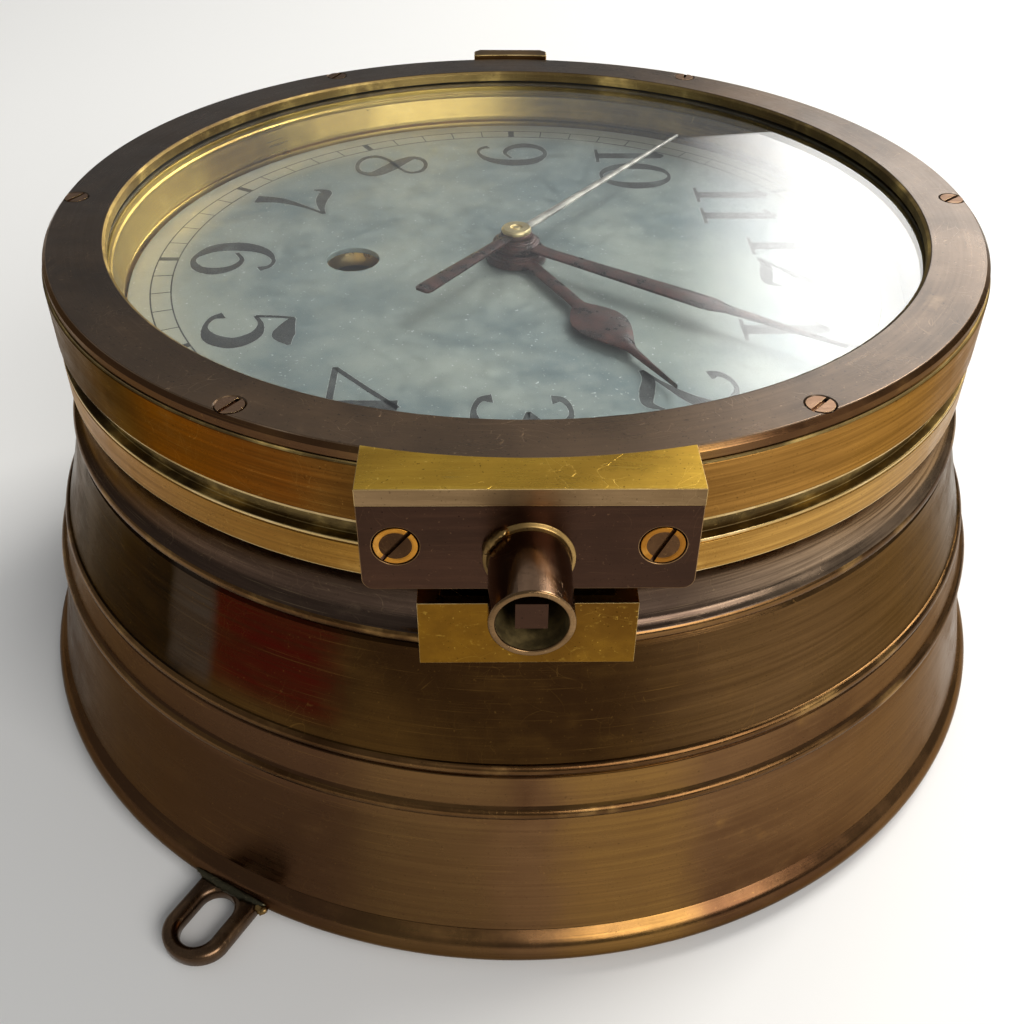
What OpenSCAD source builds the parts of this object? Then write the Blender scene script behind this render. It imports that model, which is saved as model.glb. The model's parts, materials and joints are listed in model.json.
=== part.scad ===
// Ship's deck clock: a turned brass case with a hinged, locked and glazed bezel,
// an eight-day lever movement and a centre seconds hand.
// Origin: centre of the flat rear face. +Z runs from the rear face to the dial.
// Twelve o'clock is +X, three o'clock (the lock) is -Y, nine o'clock (the hinge) is +Y.

/* [Case] */
// Height from the rear face to the top of the front ring
total_h = 105; // [104:0.5:108]
// Largest radius, at the bead round the rear edge
base_r = 115; // [114:0.5:118]
// Thickness of the spun case wall
wall = 2.8; // [2.2:0.2:3.4]
// Height of the upper bead on the case side
upper_bead_z = 68.9; // [68:0.1:70]
// Height of the middle bead
middle_bead_z = 44.8; // [44:0.1:46]
// Height of the lower bead
lower_bead_z = 36.2; // [35:0.1:37]
// Thickness of the screwed back plate
back_t = 3; // [2:0.5:3]

/* [Bezel] */
// Radius of the bezel's side
bezel_r = 96.5; // [96:0.5:97]
// Radius of the opening in the front ring
opening_r = 84.1; // [83:0.1:85]
// Height of the bezel with its front ring
bezel_h = 14.4; // [14:0.1:15]
// Thickness of the front ring
ring_t = 2.4; // [2:0.1:2.6]
// Thickness of the glass
glass_t = 2.8; // [2:0.1:2.8]
// Open groove between bezel and case flange
groove_h = 3.5; // [3:0.1:4]
// Height of the case flange
flange_h = 6.8; // [6:0.1:7.4]
// Number of screws in the front ring
ring_screws_n = 6; // [4:1:8]

/* [Lock] */
// Width of the lock housing
lock_w = 50; // [46:1:54]
// Width of the keeper on the case
keeper_w = 34; // [34:1:38]
// Outer radius of the key tube
key_tube_r = 6.15; // [5.8:0.05:6.4]
// Length of the key tube
key_tube_l = 14; // [10:1:16]
// Side of the square that the key turns
key_square = 4.6; // [4:0.1:5]

/* [Lugs] */
// Distance from the clock's axis to a lug's tip
lug_tip_r = 131; // [128:1:136]
// Width of a lug
lug_w = 14.2; // [13:0.2:16]
// Thickness of a lug
lug_t = 3.6; // [3:0.2:4]
// Width of the slot in a lug
lug_slot_w = 7; // [5:0.5:8]
// Overall length of the slot in a lug
lug_slot_l = 12.3; // [10:0.1:12.4]

/* [Dial and hands] */
// Radius of the dial
dial_r = 82.6; // [80:0.1:82.8]
// Distance of the winding hole from the centre, towards six
wind_r = 35.8; // [35.8:0.1:36]
// Radius of the winding hole
wind_hole_r = 5.75; // [5.5:0.05:6]
// Reach of the hour hand
hour_l = 62; // [56:1:66]
// Reach of the minute hand
minute_l = 76; // [70:1:78]
// Reach of the seconds hand
seconds_l = 74; // [68:1:78]
// Hour that the hands show, as a decimal
shown_time = 2.0886; // [0:0.01:11.99]

/* [Hidden] */
$fn = 96;

// heights, counted from the rear face
bezel_z = total_h - bezel_h;
ring_z = total_h - ring_t;
flange_top = bezel_z - groove_h;
flange_z = flange_top - flange_h;
dial_top = bezel_z - 1.6;
dial_t = 1.2;
dial_z = dial_top - dial_t;
carrier_t = 3;
carrier_z = dial_z - carrier_t;
glass_z = ring_z - 0.2 - glass_t;
gasket_t = 0.6;
seat_z = glass_z - gasket_t;
plate_t = 3;
front_plate_z = 73;
back_plate_z = 40;
plates_low = back_plate_z + plate_t;

// radii of the case and bezel
flange_r = bezel_r - 0.1;
neck_r = flange_r - 1.8;
rim_bore_r = dial_r + 0.6;
ledge_r = rim_bore_r - 5.2;
cove_r = flange_r - 1.5;
glass_r = opening_r + 3.9;
ring_r = bezel_r - 0.5;
ring_screw_r = ring_r - 3.1;

// lock
arbor_z = total_h - 11.9;
lock_front = bezel_r + 7.4;
lock_low = total_h - 17.8;
lip_top = total_h + 1.2;
lip_t = 3;
cover_t = 1.8;
claw_out = 15.5;
claw_in = 12.6;
claw_y = lock_front - cover_t - 3.5;
claw_t = 3;
pocket_r = claw_out + 0.7;
pocket_y = claw_y - 0.4;
keeper_low = total_h - 33.5;
keeper_top = lock_low - 3;
striker_z = arbor_z - 10.8;
striker_r = 1.5;

// hinge
hinge_y = bezel_r + 4.1;
hinge_z = flange_top + groove_h / 2;
knuckle_r = 3.3;
hinge_w = 20;
hinge_pin_r = 1.5;
knuckle_half = 4.85;
hinge_gap = 0.3;

// clearances of shafts in their holes
run = 0.05;

// train: positions follow from tooth counts and modules
m_great = 0.65;
m_main = 0.6;
m_seconds = 0.5;
barrel_n = 84;
inter_pinion_n = 12;
inter_n = 72;
centre_pinion_n = 12;
centre_n = 80;
third_pinion_n = 10;
third_n = 75;
seconds_pinion_n = 10;
m_third = m_main * (centre_n + third_pinion_n) / (third_n + seconds_pinion_n);
seconds_n = 80;
escape_pinion_n = 8;
cannon_n = 12;
minute_n = 36;
minute_pinion_n = 10;
hour_n = 40;
m_hour = m_main * (cannon_n + minute_n) / (minute_pinion_n + hour_n);

barrel_pos = [-wind_r, 0];
inter_from_barrel = m_great * (barrel_n + inter_pinion_n) / 2;
inter_from_centre = m_main * (inter_n + centre_pinion_n) / 2;
inter_x = (pow(inter_from_barrel, 2) - pow(inter_from_centre, 2) - pow(wind_r, 2)) / (2 * wind_r);
inter_pos = [inter_x, -sqrt(pow(inter_from_centre, 2) - pow(inter_x, 2))];
third_dir = -10;
third_pos = m_main * (centre_n + third_pinion_n) / 2 * [cos(third_dir), sin(third_dir)];
escape_pos = [0, m_seconds * (seconds_n + escape_pinion_n) / 2];
minute_dir = 135;
minute_pos = m_main * (cannon_n + minute_n) / 2 * [cos(minute_dir), sin(minute_dir)];
lever_pos = escape_pos + [0, 10.4];
balance_pos = lever_pos + [0, 11.6];

plate_r = 62;
pillar_r = 54;
escape_r = 7.4;

// hand angles, clockwise from twelve
hour_angle = shown_time * 30;
minute_angle = (shown_time - floor(shown_time)) * 360;
seconds_angle = 302.6;

// ---------- shared shapes ----------

// points of an arc, from angle a0 to a1 in n steps
function arc(c, r, a0, a1, n) =
    [for (i = [0:n]) let (a = a0 + (a1 - a0) * i / n) c + r * [cos(a), sin(a)]];

// a half-round bead that stands out of a wall at radius r and height z
function bead(r, z, rb) = arc([r - rb * 0.35, z], rb, -70, 70, 7);

// outer outline of the spun case, from the rear edge up to the flange
bead_r = 4.2;
lower_cone = [base_r - 2.7, 9.4];
band_top = 97.7;
band_foot = 103.6;
function case_outline() = concat(
    arc([base_r - bead_r, bead_r], bead_r, -90, 60, 14),
    [lower_cone + [-0.3, -0.5], lower_cone],
    [[106.9, lower_bead_z - 1.4]],
    bead(106.6, lower_bead_z, 1.3),
    [[106.1, lower_bead_z + 1.4], [104.4, middle_bead_z - 1.4]],
    bead(103.9, middle_bead_z, 1.3),
    [for (i = [0:8]) let (t = 1 - i / 8)
        [band_top + (band_foot - band_top) * pow(t, 1.2),
         upper_bead_z - 1.7 + (middle_bead_z - upper_bead_z + 3.1) * t]],
    bead(96.9, upper_bead_z, 1.5),
    arc([cove_r + 9, upper_bead_z + 6.4], 9, 210, 152, 8),
    [[flange_r, flange_z]]
);

// the space that the closed case takes up, for pieces that lie against it
module case_envelope() {
    rotate_extrude()
        polygon(concat([[0, 0]], case_outline(), [[flange_r, flange_top], [0, flange_top]]));
}

// a toothed disc; pitch radius is teeth * m / 2 and a tooth is centred on angle 0
function tooth(n, m, a, add, ded, w) = let (r = n * m / 2, p = 360 / n) [
    for (k = [[r - ded * m, -w[2]], [r, -w[0]], [r + add * m, -w[1]],
              [r + add * m, w[1]], [r, w[0]], [r - ded * m, w[2]]])
        k[0] * [cos(a + k[1] * p), sin(a + k[1] * p)]];
module wheel_teeth(n, m) {
    polygon([for (i = [0:n - 1]) each tooth(n, m, i * 360 / n, 0.8, 1.1, [0.21, 0.05, 0.25])]);
}
module pinion_leaves(n, m) {
    polygon([for (i = [0:n - 1]) each tooth(n, m, i * 360 / n, 0.6, 1.2, [0.17, 0.08, 0.17])]);
}

// a spoked brass train wheel, lying at height z
module train_wheel(n, m, bore_r, t, spokes) {
    r = n * m / 2;
    rim_in = r - 1.1 * m - 2;
    hub = bore_r + 2;
    linear_extrude(t) difference() {
        wheel_teeth(n, m);
        difference() {
            circle(rim_in);
            circle(hub);
            for (i = [0:spokes - 1])
                rotate((i + 0.5) * 360 / spokes)
                    translate([0, -0.9])
                        square([rim_in + 1, 1.8]);
        }
        circle(bore_r);
    }
}

// a steel pinion cut on its arbor
module pinion(n, m, t) {
    linear_extrude(t) pinion_leaves(n, m);
}

// a round bar between two heights
module bar(r, z0, z1) {
    translate([0, 0, z0]) cylinder(r = r, h = z1 - z0);
}

// a countersunk slotted screw, its head flush with z = 0 and its shank below
module countersunk_screw(head_r, shank_r, length, slot_angle) {
    sink = head_r - shank_r;
    difference() {
        union() {
            rotate_extrude() polygon([
                [0, 0], [head_r, 0], [head_r, -0.25], [shank_r, -0.25 - sink],
                [shank_r, -length], [0, -length]
            ]);
        }
        rotate(slot_angle)
            translate([-head_r - 1, -head_r * 0.15, -0.7])
                cube([2 * head_r + 2, head_r * 0.3, 1]);
    }
}

// the hole for such a screw
module countersunk_hole(head_r, shank_r, length) {
    gap = 0.04;
    sink = head_r - shank_r;
    rotate_extrude() polygon([
        [0, 1], [head_r + gap, 1], [head_r + gap, -0.25], [shank_r + gap, -0.25 - sink],
        [shank_r + gap, -length - 0.2], [0, -length - 0.2]
    ]);
}

// ---------- case ----------

back_screw_r = 105.2;
back_screw_n = 8;
module at_back_screws() {
    for (i = [0:back_screw_n - 1])
        rotate((i + 0.5) * 360 / back_screw_n)
            translate([back_screw_r, 0, 0])
                mirror([0, 0, 1]) children();
}

module case_shell() {
    color("saddlebrown") difference() {
        rotate_extrude() polygon(concat(
            [[base_r - 6.6, 0]],
            case_outline(),
            [[flange_r - wall - 1.2, flange_z],
             [flange_r - wall - 1.2, upper_bead_z + 3],
             [band_top - wall, upper_bead_z - 3],
             [band_foot - wall, middle_bead_z + 1],
             [106.6 - wall, lower_bead_z - 1],
             [lower_cone[0] - wall, lower_cone[1] + 1],
             [base_r - 12.5, 6.4],
             [base_r - 12.5, back_t],
             [base_r - 6.6, back_t]]
        ));
        at_back_screws() countersunk_hole(2.6, 1.4, 5.6);
    }
}

module front_rim() {
    spigot_r = flange_r - wall - 1.3;
    color("goldenrod") difference() {
        rotate_extrude() polygon([
            [flange_r - 0.15, flange_z], [flange_r, flange_z + 0.15],
            [flange_r, flange_top - 0.3], [flange_r - 0.3, flange_top],
            [neck_r, flange_top], [neck_r, bezel_z - 0.3],
            [rim_bore_r, bezel_z - 0.3], [rim_bore_r, carrier_z],
            [ledge_r, carrier_z], [ledge_r, carrier_z - 4],
            [spigot_r - 3.4, flange_z - 1], [spigot_r - 3.4, flange_z - 4.5],
            [spigot_r, flange_z - 4.5], [spigot_r, flange_z]
        ]);
        at_carrier_screws() translate([0, 0, -carrier_t - 3.2]) cylinder(r = 1.25, h = 4);
    }
}

module back_plate() {
    color("peru") difference() {
        cylinder(r = base_r - 6.8, h = back_t);
        at_back_screws() countersunk_hole(2.6, 1.4, 5.6);
    }
}

module back_plate_screws() {
    color("darkgoldenrod") at_back_screws() countersunk_screw(2.6, 1.4, 5.4, 25);
}

// a strap lug that points along +X, with a slot that runs along it
module lug() {
    end_r = lug_w / 2;
    slot_r = lug_slot_w / 2;
    slot_out = lug_tip_r - 2.8 - slot_r;
    slot_in = slot_out - lug_slot_l + lug_slot_w;
    difference() {
        union() {
            translate([base_r - 8, -end_r, 0]) cube([lug_tip_r - end_r - base_r + 8, lug_w, lug_t]);
            translate([lug_tip_r - end_r, 0, 0]) cylinder(r = end_r, h = lug_t);
        }
        for (x = [slot_in, slot_out])
            translate([x, 0, -1]) cylinder(r = slot_r, h = lug_t + 2);
        translate([slot_in, -slot_r, -1]) cube([slot_out - slot_in, lug_slot_w, lug_t + 2]);
        translate([0, 0, -0.4]) case_envelope();
    }
}

// lugs at four and at ten o'clock
module mounting_lugs() {
    color("saddlebrown")
        for (clock_angle = [120, 300])
            rotate(-clock_angle) translate([0, 0, 0.4]) lug();
}

// ---------- hinge at nine o'clock ----------

// a cylinder along X at the hinge axis, from x0 to x1
module hinge_bar(r, x0, x1) {
    translate([x0, hinge_y, hinge_z]) rotate([0, 90, 0]) cylinder(r = r, h = x1 - x0);
}

module case_hinge_leaf() {
    leaf_low = upper_bead_z + 4;
    leaf_face = flange_r + 2;
    color("darkgoldenrod") difference() {
        union() {
            translate([-hinge_w / 2, flange_r - 3.5, leaf_low])
                cube([hinge_w, leaf_face - flange_r + 3.5, hinge_z - knuckle_r - 0.4 - leaf_low]);
            for (x = [-hinge_w / 2, knuckle_half + hinge_gap]) {
                hinge_bar(knuckle_r, x, x + hinge_w / 2 - knuckle_half - hinge_gap);
                translate([x, hinge_y - knuckle_r, hinge_z - knuckle_r - 0.5])
                    cube([hinge_w / 2 - knuckle_half - hinge_gap, knuckle_r, knuckle_r + 0.5]);
            }
        }
        case_envelope();
        hinge_bar(hinge_pin_r + run, -hinge_w, hinge_w);
    }
}

module hinge_pin() {
    color("gray") hinge_bar(hinge_pin_r, -hinge_w / 2 - 0.5, hinge_w / 2 + 0.5);
}

module bezel_hinge_leaf() {
    leaf_top = total_h + 0.8;
    leaf_low = hinge_z + knuckle_r + 0.45;
    leaf_face = bezel_r + 4.7;
    corner = 1.6;
    color("goldenrod") difference() {
        union() {
            translate([0, 0, leaf_low]) linear_extrude(leaf_top - leaf_low) polygon([
                [-hinge_w / 2, bezel_r - 3], [-hinge_w / 2, leaf_face - corner],
                [-hinge_w / 2 + corner, leaf_face], [hinge_w / 2 - corner, leaf_face],
                [hinge_w / 2, leaf_face - corner], [hinge_w / 2, bezel_r - 3]
            ]);
            translate([-knuckle_half, hinge_y - knuckle_r, hinge_z])
                cube([2 * knuckle_half, knuckle_r + 0.6, leaf_low - hinge_z + 1]);
            hinge_bar(knuckle_r, -knuckle_half, knuckle_half);
        }
        translate([0, 0, bezel_z - 10]) cylinder(r = bezel_r, h = 40);
        hinge_bar(hinge_pin_r + run, -hinge_w, hinge_w);
    }
}

// ---------- bezel ----------

module at_ring_screws() {
    for (i = [0:ring_screws_n - 1])
        rotate(-i * 360 / ring_screws_n)
            translate([ring_screw_r, 0, total_h]) children();
}

module bezel_frame() {
    channel_in = opening_r + 3;
    color("sienna") difference() {
        rotate_extrude() polygon([
            [opening_r - 1.4, bezel_z], [channel_in, bezel_z], [channel_in, bezel_z + 2.4],
            [channel_in + 4.5, bezel_z + 2.4], [channel_in + 4.5, bezel_z],
            [bezel_r - 0.4, bezel_z], [bezel_r, bezel_z + 0.4],
            [bezel_r, ring_z - 0.3], [bezel_r - 0.3, ring_z],
            [glass_r + 0.3, ring_z], [glass_r + 0.3, seat_z],
            [opening_r, seat_z], [opening_r - 1.4, bezel_z + 0.8]
        ]);
        at_ring_screws() translate([0, 0, -7.2]) cylinder(r = 1.15, h = 8);
        // blind bearing of the lock arbor
        translate([0, -bezel_r + 3, arbor_z]) rotate([90, 0, 0]) cylinder(r = 2 + run, h = 10);
    }
}

module front_ring() {
    edge = 0.9;
    color("sienna") difference() {
        rotate_extrude() polygon([
            [opening_r, ring_z], [ring_r, ring_z], [ring_r, total_h - edge],
            [ring_r - edge, total_h], [opening_r + 0.4, total_h], [opening_r, total_h - 0.4]
        ]);
        at_ring_screws() countersunk_hole(2.35, 1.1, 7);
    }
}

module ring_screws() {
    color("peru")
        for (i = [0:ring_screws_n - 1])
            rotate(-i * 360 / ring_screws_n)
                translate([ring_screw_r, 0, total_h]) countersunk_screw(2.35, 1.1, 7, 40 + 67 * i);
}

module bezel_glass() {
    color("lightcyan", 0.3) translate([0, 0, glass_z]) cylinder(r = glass_r, h = glass_t);
}

module glass_gasket() {
    color("dimgray") translate([0, 0, seat_z]) difference() {
        cylinder(r = glass_r, h = gasket_t);
        translate([0, 0, -1]) cylinder(r = opening_r + 0.6, h = gasket_t + 2);
    }
}

module bezel_seal() {
    color("dimgray") translate([0, 0, bezel_z]) difference() {
        cylinder(r = opening_r + 7.4, h = 2.4);
        translate([0, 0, -1]) cylinder(r = opening_r + 3.1, h = 5);
    }
}

// ---------- lock at three o'clock ----------

// a cylinder along -Y at the lock's axis, from distance y0 to y1 from the clock's axis
module lock_bar(r, y0, y1) {
    translate([0, -y0, arbor_z]) rotate([90, 0, 0]) cylinder(r = r, h = y1 - y0);
}

cover_screw_x = 19.6;
cover_screw_z = total_h - 9.4;
module at_cover_screws() {
    for (x = [-cover_screw_x, cover_screw_x])
        translate([x, -lock_front, cover_screw_z]) rotate([90, 0, 0]) children();
}

module lock_housing() {
    body_face = lock_front - cover_t;
    lip_z = lip_top - lip_t;
    color("gold") difference() {
        union() {
            translate([-lock_w / 2, -body_face, lock_low]) cube([lock_w, body_face - 80, lip_z - lock_low]);
            translate([-lock_w / 2, -lock_front - 0.3, lip_z]) cube([lock_w, lock_front + 0.3 - 80, lip_t]);
        }
        translate([0, 0, lock_low - 1]) cylinder(r = bezel_r, h = 40);
        intersection() {
            lock_bar(pocket_r, pocket_y, lock_front - cover_t + 0.01);
            translate([-20, -lock_front, lock_low - 1]) cube([40, 20, lip_z - lock_low]);
        }
        lock_bar(2 + run, 80, lock_front);
        at_cover_screws() countersunk_hole(3.5, 1.4, 5.2);
    }
}

module lock_cover_plate() {
    plate_h = lip_top - lip_t - lock_low;
    corner = 2;
    color("dimgray") difference() {
        translate([0, -lock_front + cover_t, lock_low]) rotate([90, 0, 0]) linear_extrude(cover_t) union() {
            translate([-lock_w / 2, corner]) square([lock_w, plate_h - corner]);
            translate([-lock_w / 2 + corner, 0]) square([lock_w - 2 * corner, plate_h]);
            for (x = [-1, 1]) translate([x * (lock_w / 2 - corner), corner]) circle(corner);
        }
        lock_bar(3.5 + run, lock_front - 5, lock_front + 1);
        at_cover_screws() countersunk_hole(3.5, 1.4, 5.2);
    }
}

module lock_cover_screws() {
    color("orange")
        for (side = [-1, 1])
            translate([side * cover_screw_x, -lock_front, cover_screw_z])
                rotate([90, 0, 0]) countersunk_screw(3.3, 1.4, 5.2, side < 0 ? 40 : 55);
}

module key_tube() {
    color("rosybrown") difference() {
        lock_bar(key_tube_r, lock_front, lock_front + key_tube_l);
        lock_bar(key_tube_r - 1, lock_front - 1, lock_front + key_tube_l + 1);
    }
}

module lock_arbor() {
    square_end = lock_front + key_tube_l - 1.7;
    color("silver") difference() {
        union() {
            lock_bar(2, bezel_r - 2, claw_y);
            lock_bar(2.9, claw_y, claw_y + claw_t);
            lock_bar(3.5, claw_y + claw_t + 0.1, lock_front);
            lock_bar(2.9, claw_y + claw_t, claw_y + claw_t + 0.2);
            translate([-key_square / 2, -square_end, arbor_z - key_square / 2])
                cube([key_square, square_end - lock_front + 1, key_square]);
        }
    }
}

// the claw: an arc about the arbor, joined to its hub at the trailing end;
// drawn retracted, a quarter turn takes it down round the keeper's striker pin
claw_lead = -18;
claw_trail = 30;
module lock_claw() {
    web = 12;
    color("silver")
        translate([0, -claw_y, arbor_z]) rotate([90, 0, 0]) linear_extrude(claw_t) difference() {
            union() {
                circle(5);
                polygon(concat(
                    arc([0, 0], claw_out, claw_lead, claw_trail, 8),
                    arc([0, 0], claw_in, claw_trail, claw_lead, 8)
                ));
                polygon(concat(
                    arc([0, 0], claw_in + 0.5, claw_trail - web, claw_trail, 3),
                    [[0, 0]]
                ));
            }
            circle(2.9);
        }
}

module lock_keeper() {
    color("gold") difference() {
        translate([-keeper_w / 2, -lock_front, keeper_low])
            cube([keeper_w, lock_front - 90, keeper_top - keeper_low]);
        case_envelope();
        lock_bar(pocket_r, pocket_y, lock_front - cover_t);
        translate([0, 0, striker_z - arbor_z]) lock_bar(striker_r, 90, lock_front - 0.9);
    }
}

module keeper_striker_pin() {
    color("silver") translate([0, 0, striker_z - arbor_z])
        lock_bar(striker_r, flange_r, lock_front - 0.9);
}

// ---------- dial and its carrier ----------

carrier_screw_r = rim_bore_r - 2.6;
module at_carrier_screws() {
    for (i = [0:3])
        rotate(45 + i * 90) translate([carrier_screw_r, 0, dial_z]) children();
}
module at_posts() {
    for (i = [0:3])
        rotate(i * 90) translate([pillar_r, 0, 0]) children();
}
module at_pillars() {
    for (i = [0:3])
        rotate(45 + i * 90) translate([pillar_r, 0, 0]) children();
}

module dial_carrier() {
    color("khaki") difference() {
        translate([0, 0, carrier_z]) cylinder(r = rim_bore_r - 0.2, h = carrier_t);
        translate([0, 0, carrier_z - 1]) cylinder(r = 3.7, h = 5);
        translate([-wind_r, 0, carrier_z - 1]) cylinder(r = wind_hole_r, h = 5);
        at_carrier_screws() countersunk_hole(2.3, 1.2, 6);
        at_posts() translate([0, 0, dial_z]) countersunk_hole(2.3, 1.2, 7);
    }
}

module carrier_screws() {
    color("gray") {
        at_carrier_screws() countersunk_screw(2.3, 1.2, 6, 20);
        at_posts() translate([0, 0, dial_z]) countersunk_screw(2.3, 1.2, 7, 50);
    }
}

module dial() {
    color("lightsteelblue") difference() {
        translate([0, 0, dial_z]) cylinder(r = dial_r, h = dial_t);
        translate([0, 0, dial_z - 1]) cylinder(r = 3.7, h = 4);
        translate([-wind_r, 0, dial_z - 1]) cylinder(r = wind_hole_r, h = 4);
    }
}

// ---------- hands ----------

hour_hand_z = dial_top + 1.5;
minute_hand_z = dial_top + 3.6;
seconds_hand_z = dial_top + 6;
hand_t = 0.8;

// a hand: its blade, drawn along +X, at height z and turned to its clock angle,
// on a round collet from collet_low to collet_top with a bore through it
module hand(angle, z, t, collet_r, collet_low, collet_top, bore_r) {
    rotate(-angle) difference() {
        union() {
            translate([0, 0, z]) linear_extrude(t) children();
            bar(collet_r, collet_low, collet_top);
        }
        bar(bore_r, collet_low - 1, collet_top + 1);
    }
}

// half-width of the hour hand's pear at distance x along it
shank_w = 1.5;
pear_start = 27;
pear_end = 47;
pear_w = 5.3;
function pear(x) = let (t = (x - pear_start) / (pear_end - pear_start))
    shank_w + (1 - shank_w) * t + (pear_w - 1) * pow(sin(180 * pow(t, 0.8)), 1.25);
pear_x = [for (i = [0:16]) pear_start + (pear_end - pear_start) * i / 16];

module hour_hand() {
    color([0.12, 0.08, 0.07])
        hand(hour_angle, hour_hand_z, hand_t, 6, dial_top + 0.9, dial_top + 3, 3 + run)
            polygon(concat(
                [[4, -1.9], [10, -shank_w]],
                [for (x = pear_x) [x, -pear(x)]],
                [[hour_l, -0.15], [hour_l, 0.15]],
                [for (i = [16:-1:0]) [pear_x[i], pear(pear_x[i])]],
                [[10, shank_w], [4, 1.9]]
            ));
}

module minute_hand() {
    color([0.12, 0.08, 0.07])
        hand(minute_angle, minute_hand_z, hand_t, 4.8, dial_top + 3.2, dial_top + 5.6, 2.2 + run)
            polygon([
                [3, -1.6], [12, -1.5], [46, -2.1], [51, -1.1], [minute_l, -0.12],
                [minute_l, 0.12], [51, 1.1], [46, 2.1], [12, 1.5], [3, 1.6]
            ]);
}

module seconds_hand() {
    tail_l = 33;
    tail_w = 1.9;
    color([0.2, 0.2, 0.22])
        hand(seconds_angle, seconds_hand_z, 0.6, 3.4, dial_top + 5.8, seconds_hand_z + 0.6, 1.5 + run) {
            union() {
                polygon([[2, -0.7], [seconds_l, -0.15], [seconds_l, 0.15], [2, 0.7]]);
                polygon(concat(
                    [[-2, 1.2]],
                    arc([-tail_l + 1, tail_w - 1], 1, 90, 180, 4),
                    arc([-tail_l + 1, 1 - tail_w], 1, 180, 270, 4),
                    [[-2, -1.2]]
                ));
            }
        }
}

// the brass cap on top of the seconds hand, pressed on the end of its arbor
module seconds_hand_cap() {
    color("gold") difference() {
        rotate_extrude() translate([0, seconds_hand_z]) polygon([
            [0, -0.2], [1.5, -0.2], [1.5, 0.6], [3.2, 0.6], [3.2, 1.2], [2.9, 1.6], [0, 1.6]
        ]);
        bar(0.75 + run, seconds_hand_z - 1, seconds_hand_z + 1);
    }
}

// ---------- movement plates ----------

// a hole through a plate for a pivot of radius r
module pivot_hole(pos, r) {
    translate([pos[0], pos[1], -1]) cylinder(r = r + run, h = plate_t + 2);
}

pivot_r = 0.6;
module movement_front_plate() {
    color("goldenrod") translate([0, 0, front_plate_z]) difference() {
        cylinder(r = plate_r, h = plate_t);
        pivot_hole([0, 0], 1.9);
        pivot_hole(barrel_pos, 3);
        pivot_hole(inter_pos, pivot_r);
        pivot_hole(third_pos, pivot_r);
        pivot_hole(minute_pos, 1 - run);
        at_pillars() translate([0, 0, -1]) cylinder(r = 1.5 + run, h = plate_t + 2);
        at_posts() translate([0, 0, -1]) cylinder(r = 2, h = plate_t + 2);
    }
}

module movement_back_plate() {
    color("goldenrod") translate([0, 0, back_plate_z]) difference() {
        cylinder(r = plate_r, h = plate_t);
        pivot_hole([0, 0], pivot_r);
        pivot_hole(barrel_pos, 3);
        pivot_hole(inter_pos, pivot_r);
        pivot_hole(third_pos, pivot_r);
        pivot_hole(escape_pos, pivot_r);
        pivot_hole(lever_pos, pivot_r);
        pivot_hole(balance_pos, pivot_r);
        at_pillars() translate([0, 0, -1]) cylinder(r = 2, h = plate_t + 2);
    }
}

module plate_pillars() {
    color("goldenrod") at_pillars() difference() {
        union() {
            bar(4, plates_low, front_plate_z);
            bar(2, back_plate_z, plates_low + 1);
        }
        bar(1.5, front_plate_z - 6, front_plate_z + 1);
    }
}

module movement_posts() {
    color("goldenrod") at_posts() difference() {
        union() {
            bar(3.5, front_plate_z + plate_t, carrier_z);
            bar(2, front_plate_z, front_plate_z + plate_t + 1);
        }
        bar(1.25, dial_z - 7.4, carrier_z + 1);
    }
}

cock_foot = balance_pos + [0, 13];
cock_z = 55.5;
cock_t = 2.5;
module movement_screws() {
    color("steelblue") {
        at_pillars() difference() {
            union() {
                bar(3.2, front_plate_z + plate_t, front_plate_z + plate_t + 1.8);
                bar(1.5, front_plate_z - 5, front_plate_z + plate_t + 1);
            }
            translate([-4, -0.4, front_plate_z + plate_t + 1.2]) cube([8, 0.8, 1]);
        }
        translate([cock_foot[0], cock_foot[1], 0]) difference() {
            union() {
                bar(2.4, cock_z + cock_t, cock_z + cock_t + 1.4);
                bar(1.2, plates_low + 2, cock_z + cock_t + 1);
            }
            translate([-3, -0.35, cock_z + cock_t + 0.8]) cube([6, 0.7, 1]);
        }
    }
}

// a bridge under the front plate that carries the lower end of the hollow centre arbor
// and the upper pivot of the escape wheel
bridge_z = 60.2;
bridge_t = 2;
bridge_foot = [15, 26];
module centre_bridge() {
    arm_l = norm(bridge_foot);
    arm_dir = atan2(bridge_foot[1], bridge_foot[0]);
    color("goldenrod") difference() {
        union() {
            bar(5, bridge_z, bridge_z + bridge_t);
            translate([-3, 0, bridge_z]) cube([6, escape_pos[1], bridge_t]);
            translate([escape_pos[0], escape_pos[1], 0]) bar(3, bridge_z, bridge_z + bridge_t);
            for (side = [-1, 1]) {
                rotate(side * arm_dir)
                    translate([0, -3.5, bridge_z]) cube([arm_l, 7, bridge_t]);
                translate([bridge_foot[0], side * bridge_foot[1], 0])
                    bar(4, bridge_z, front_plate_z);
            }
        }
        bar(1.9 + run, bridge_z - 1, bridge_z + bridge_t + 1);
        translate([escape_pos[0], escape_pos[1], 0])
            bar(pivot_r + run, bridge_z - 1, bridge_z + bridge_t + 1);
    }
}

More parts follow.
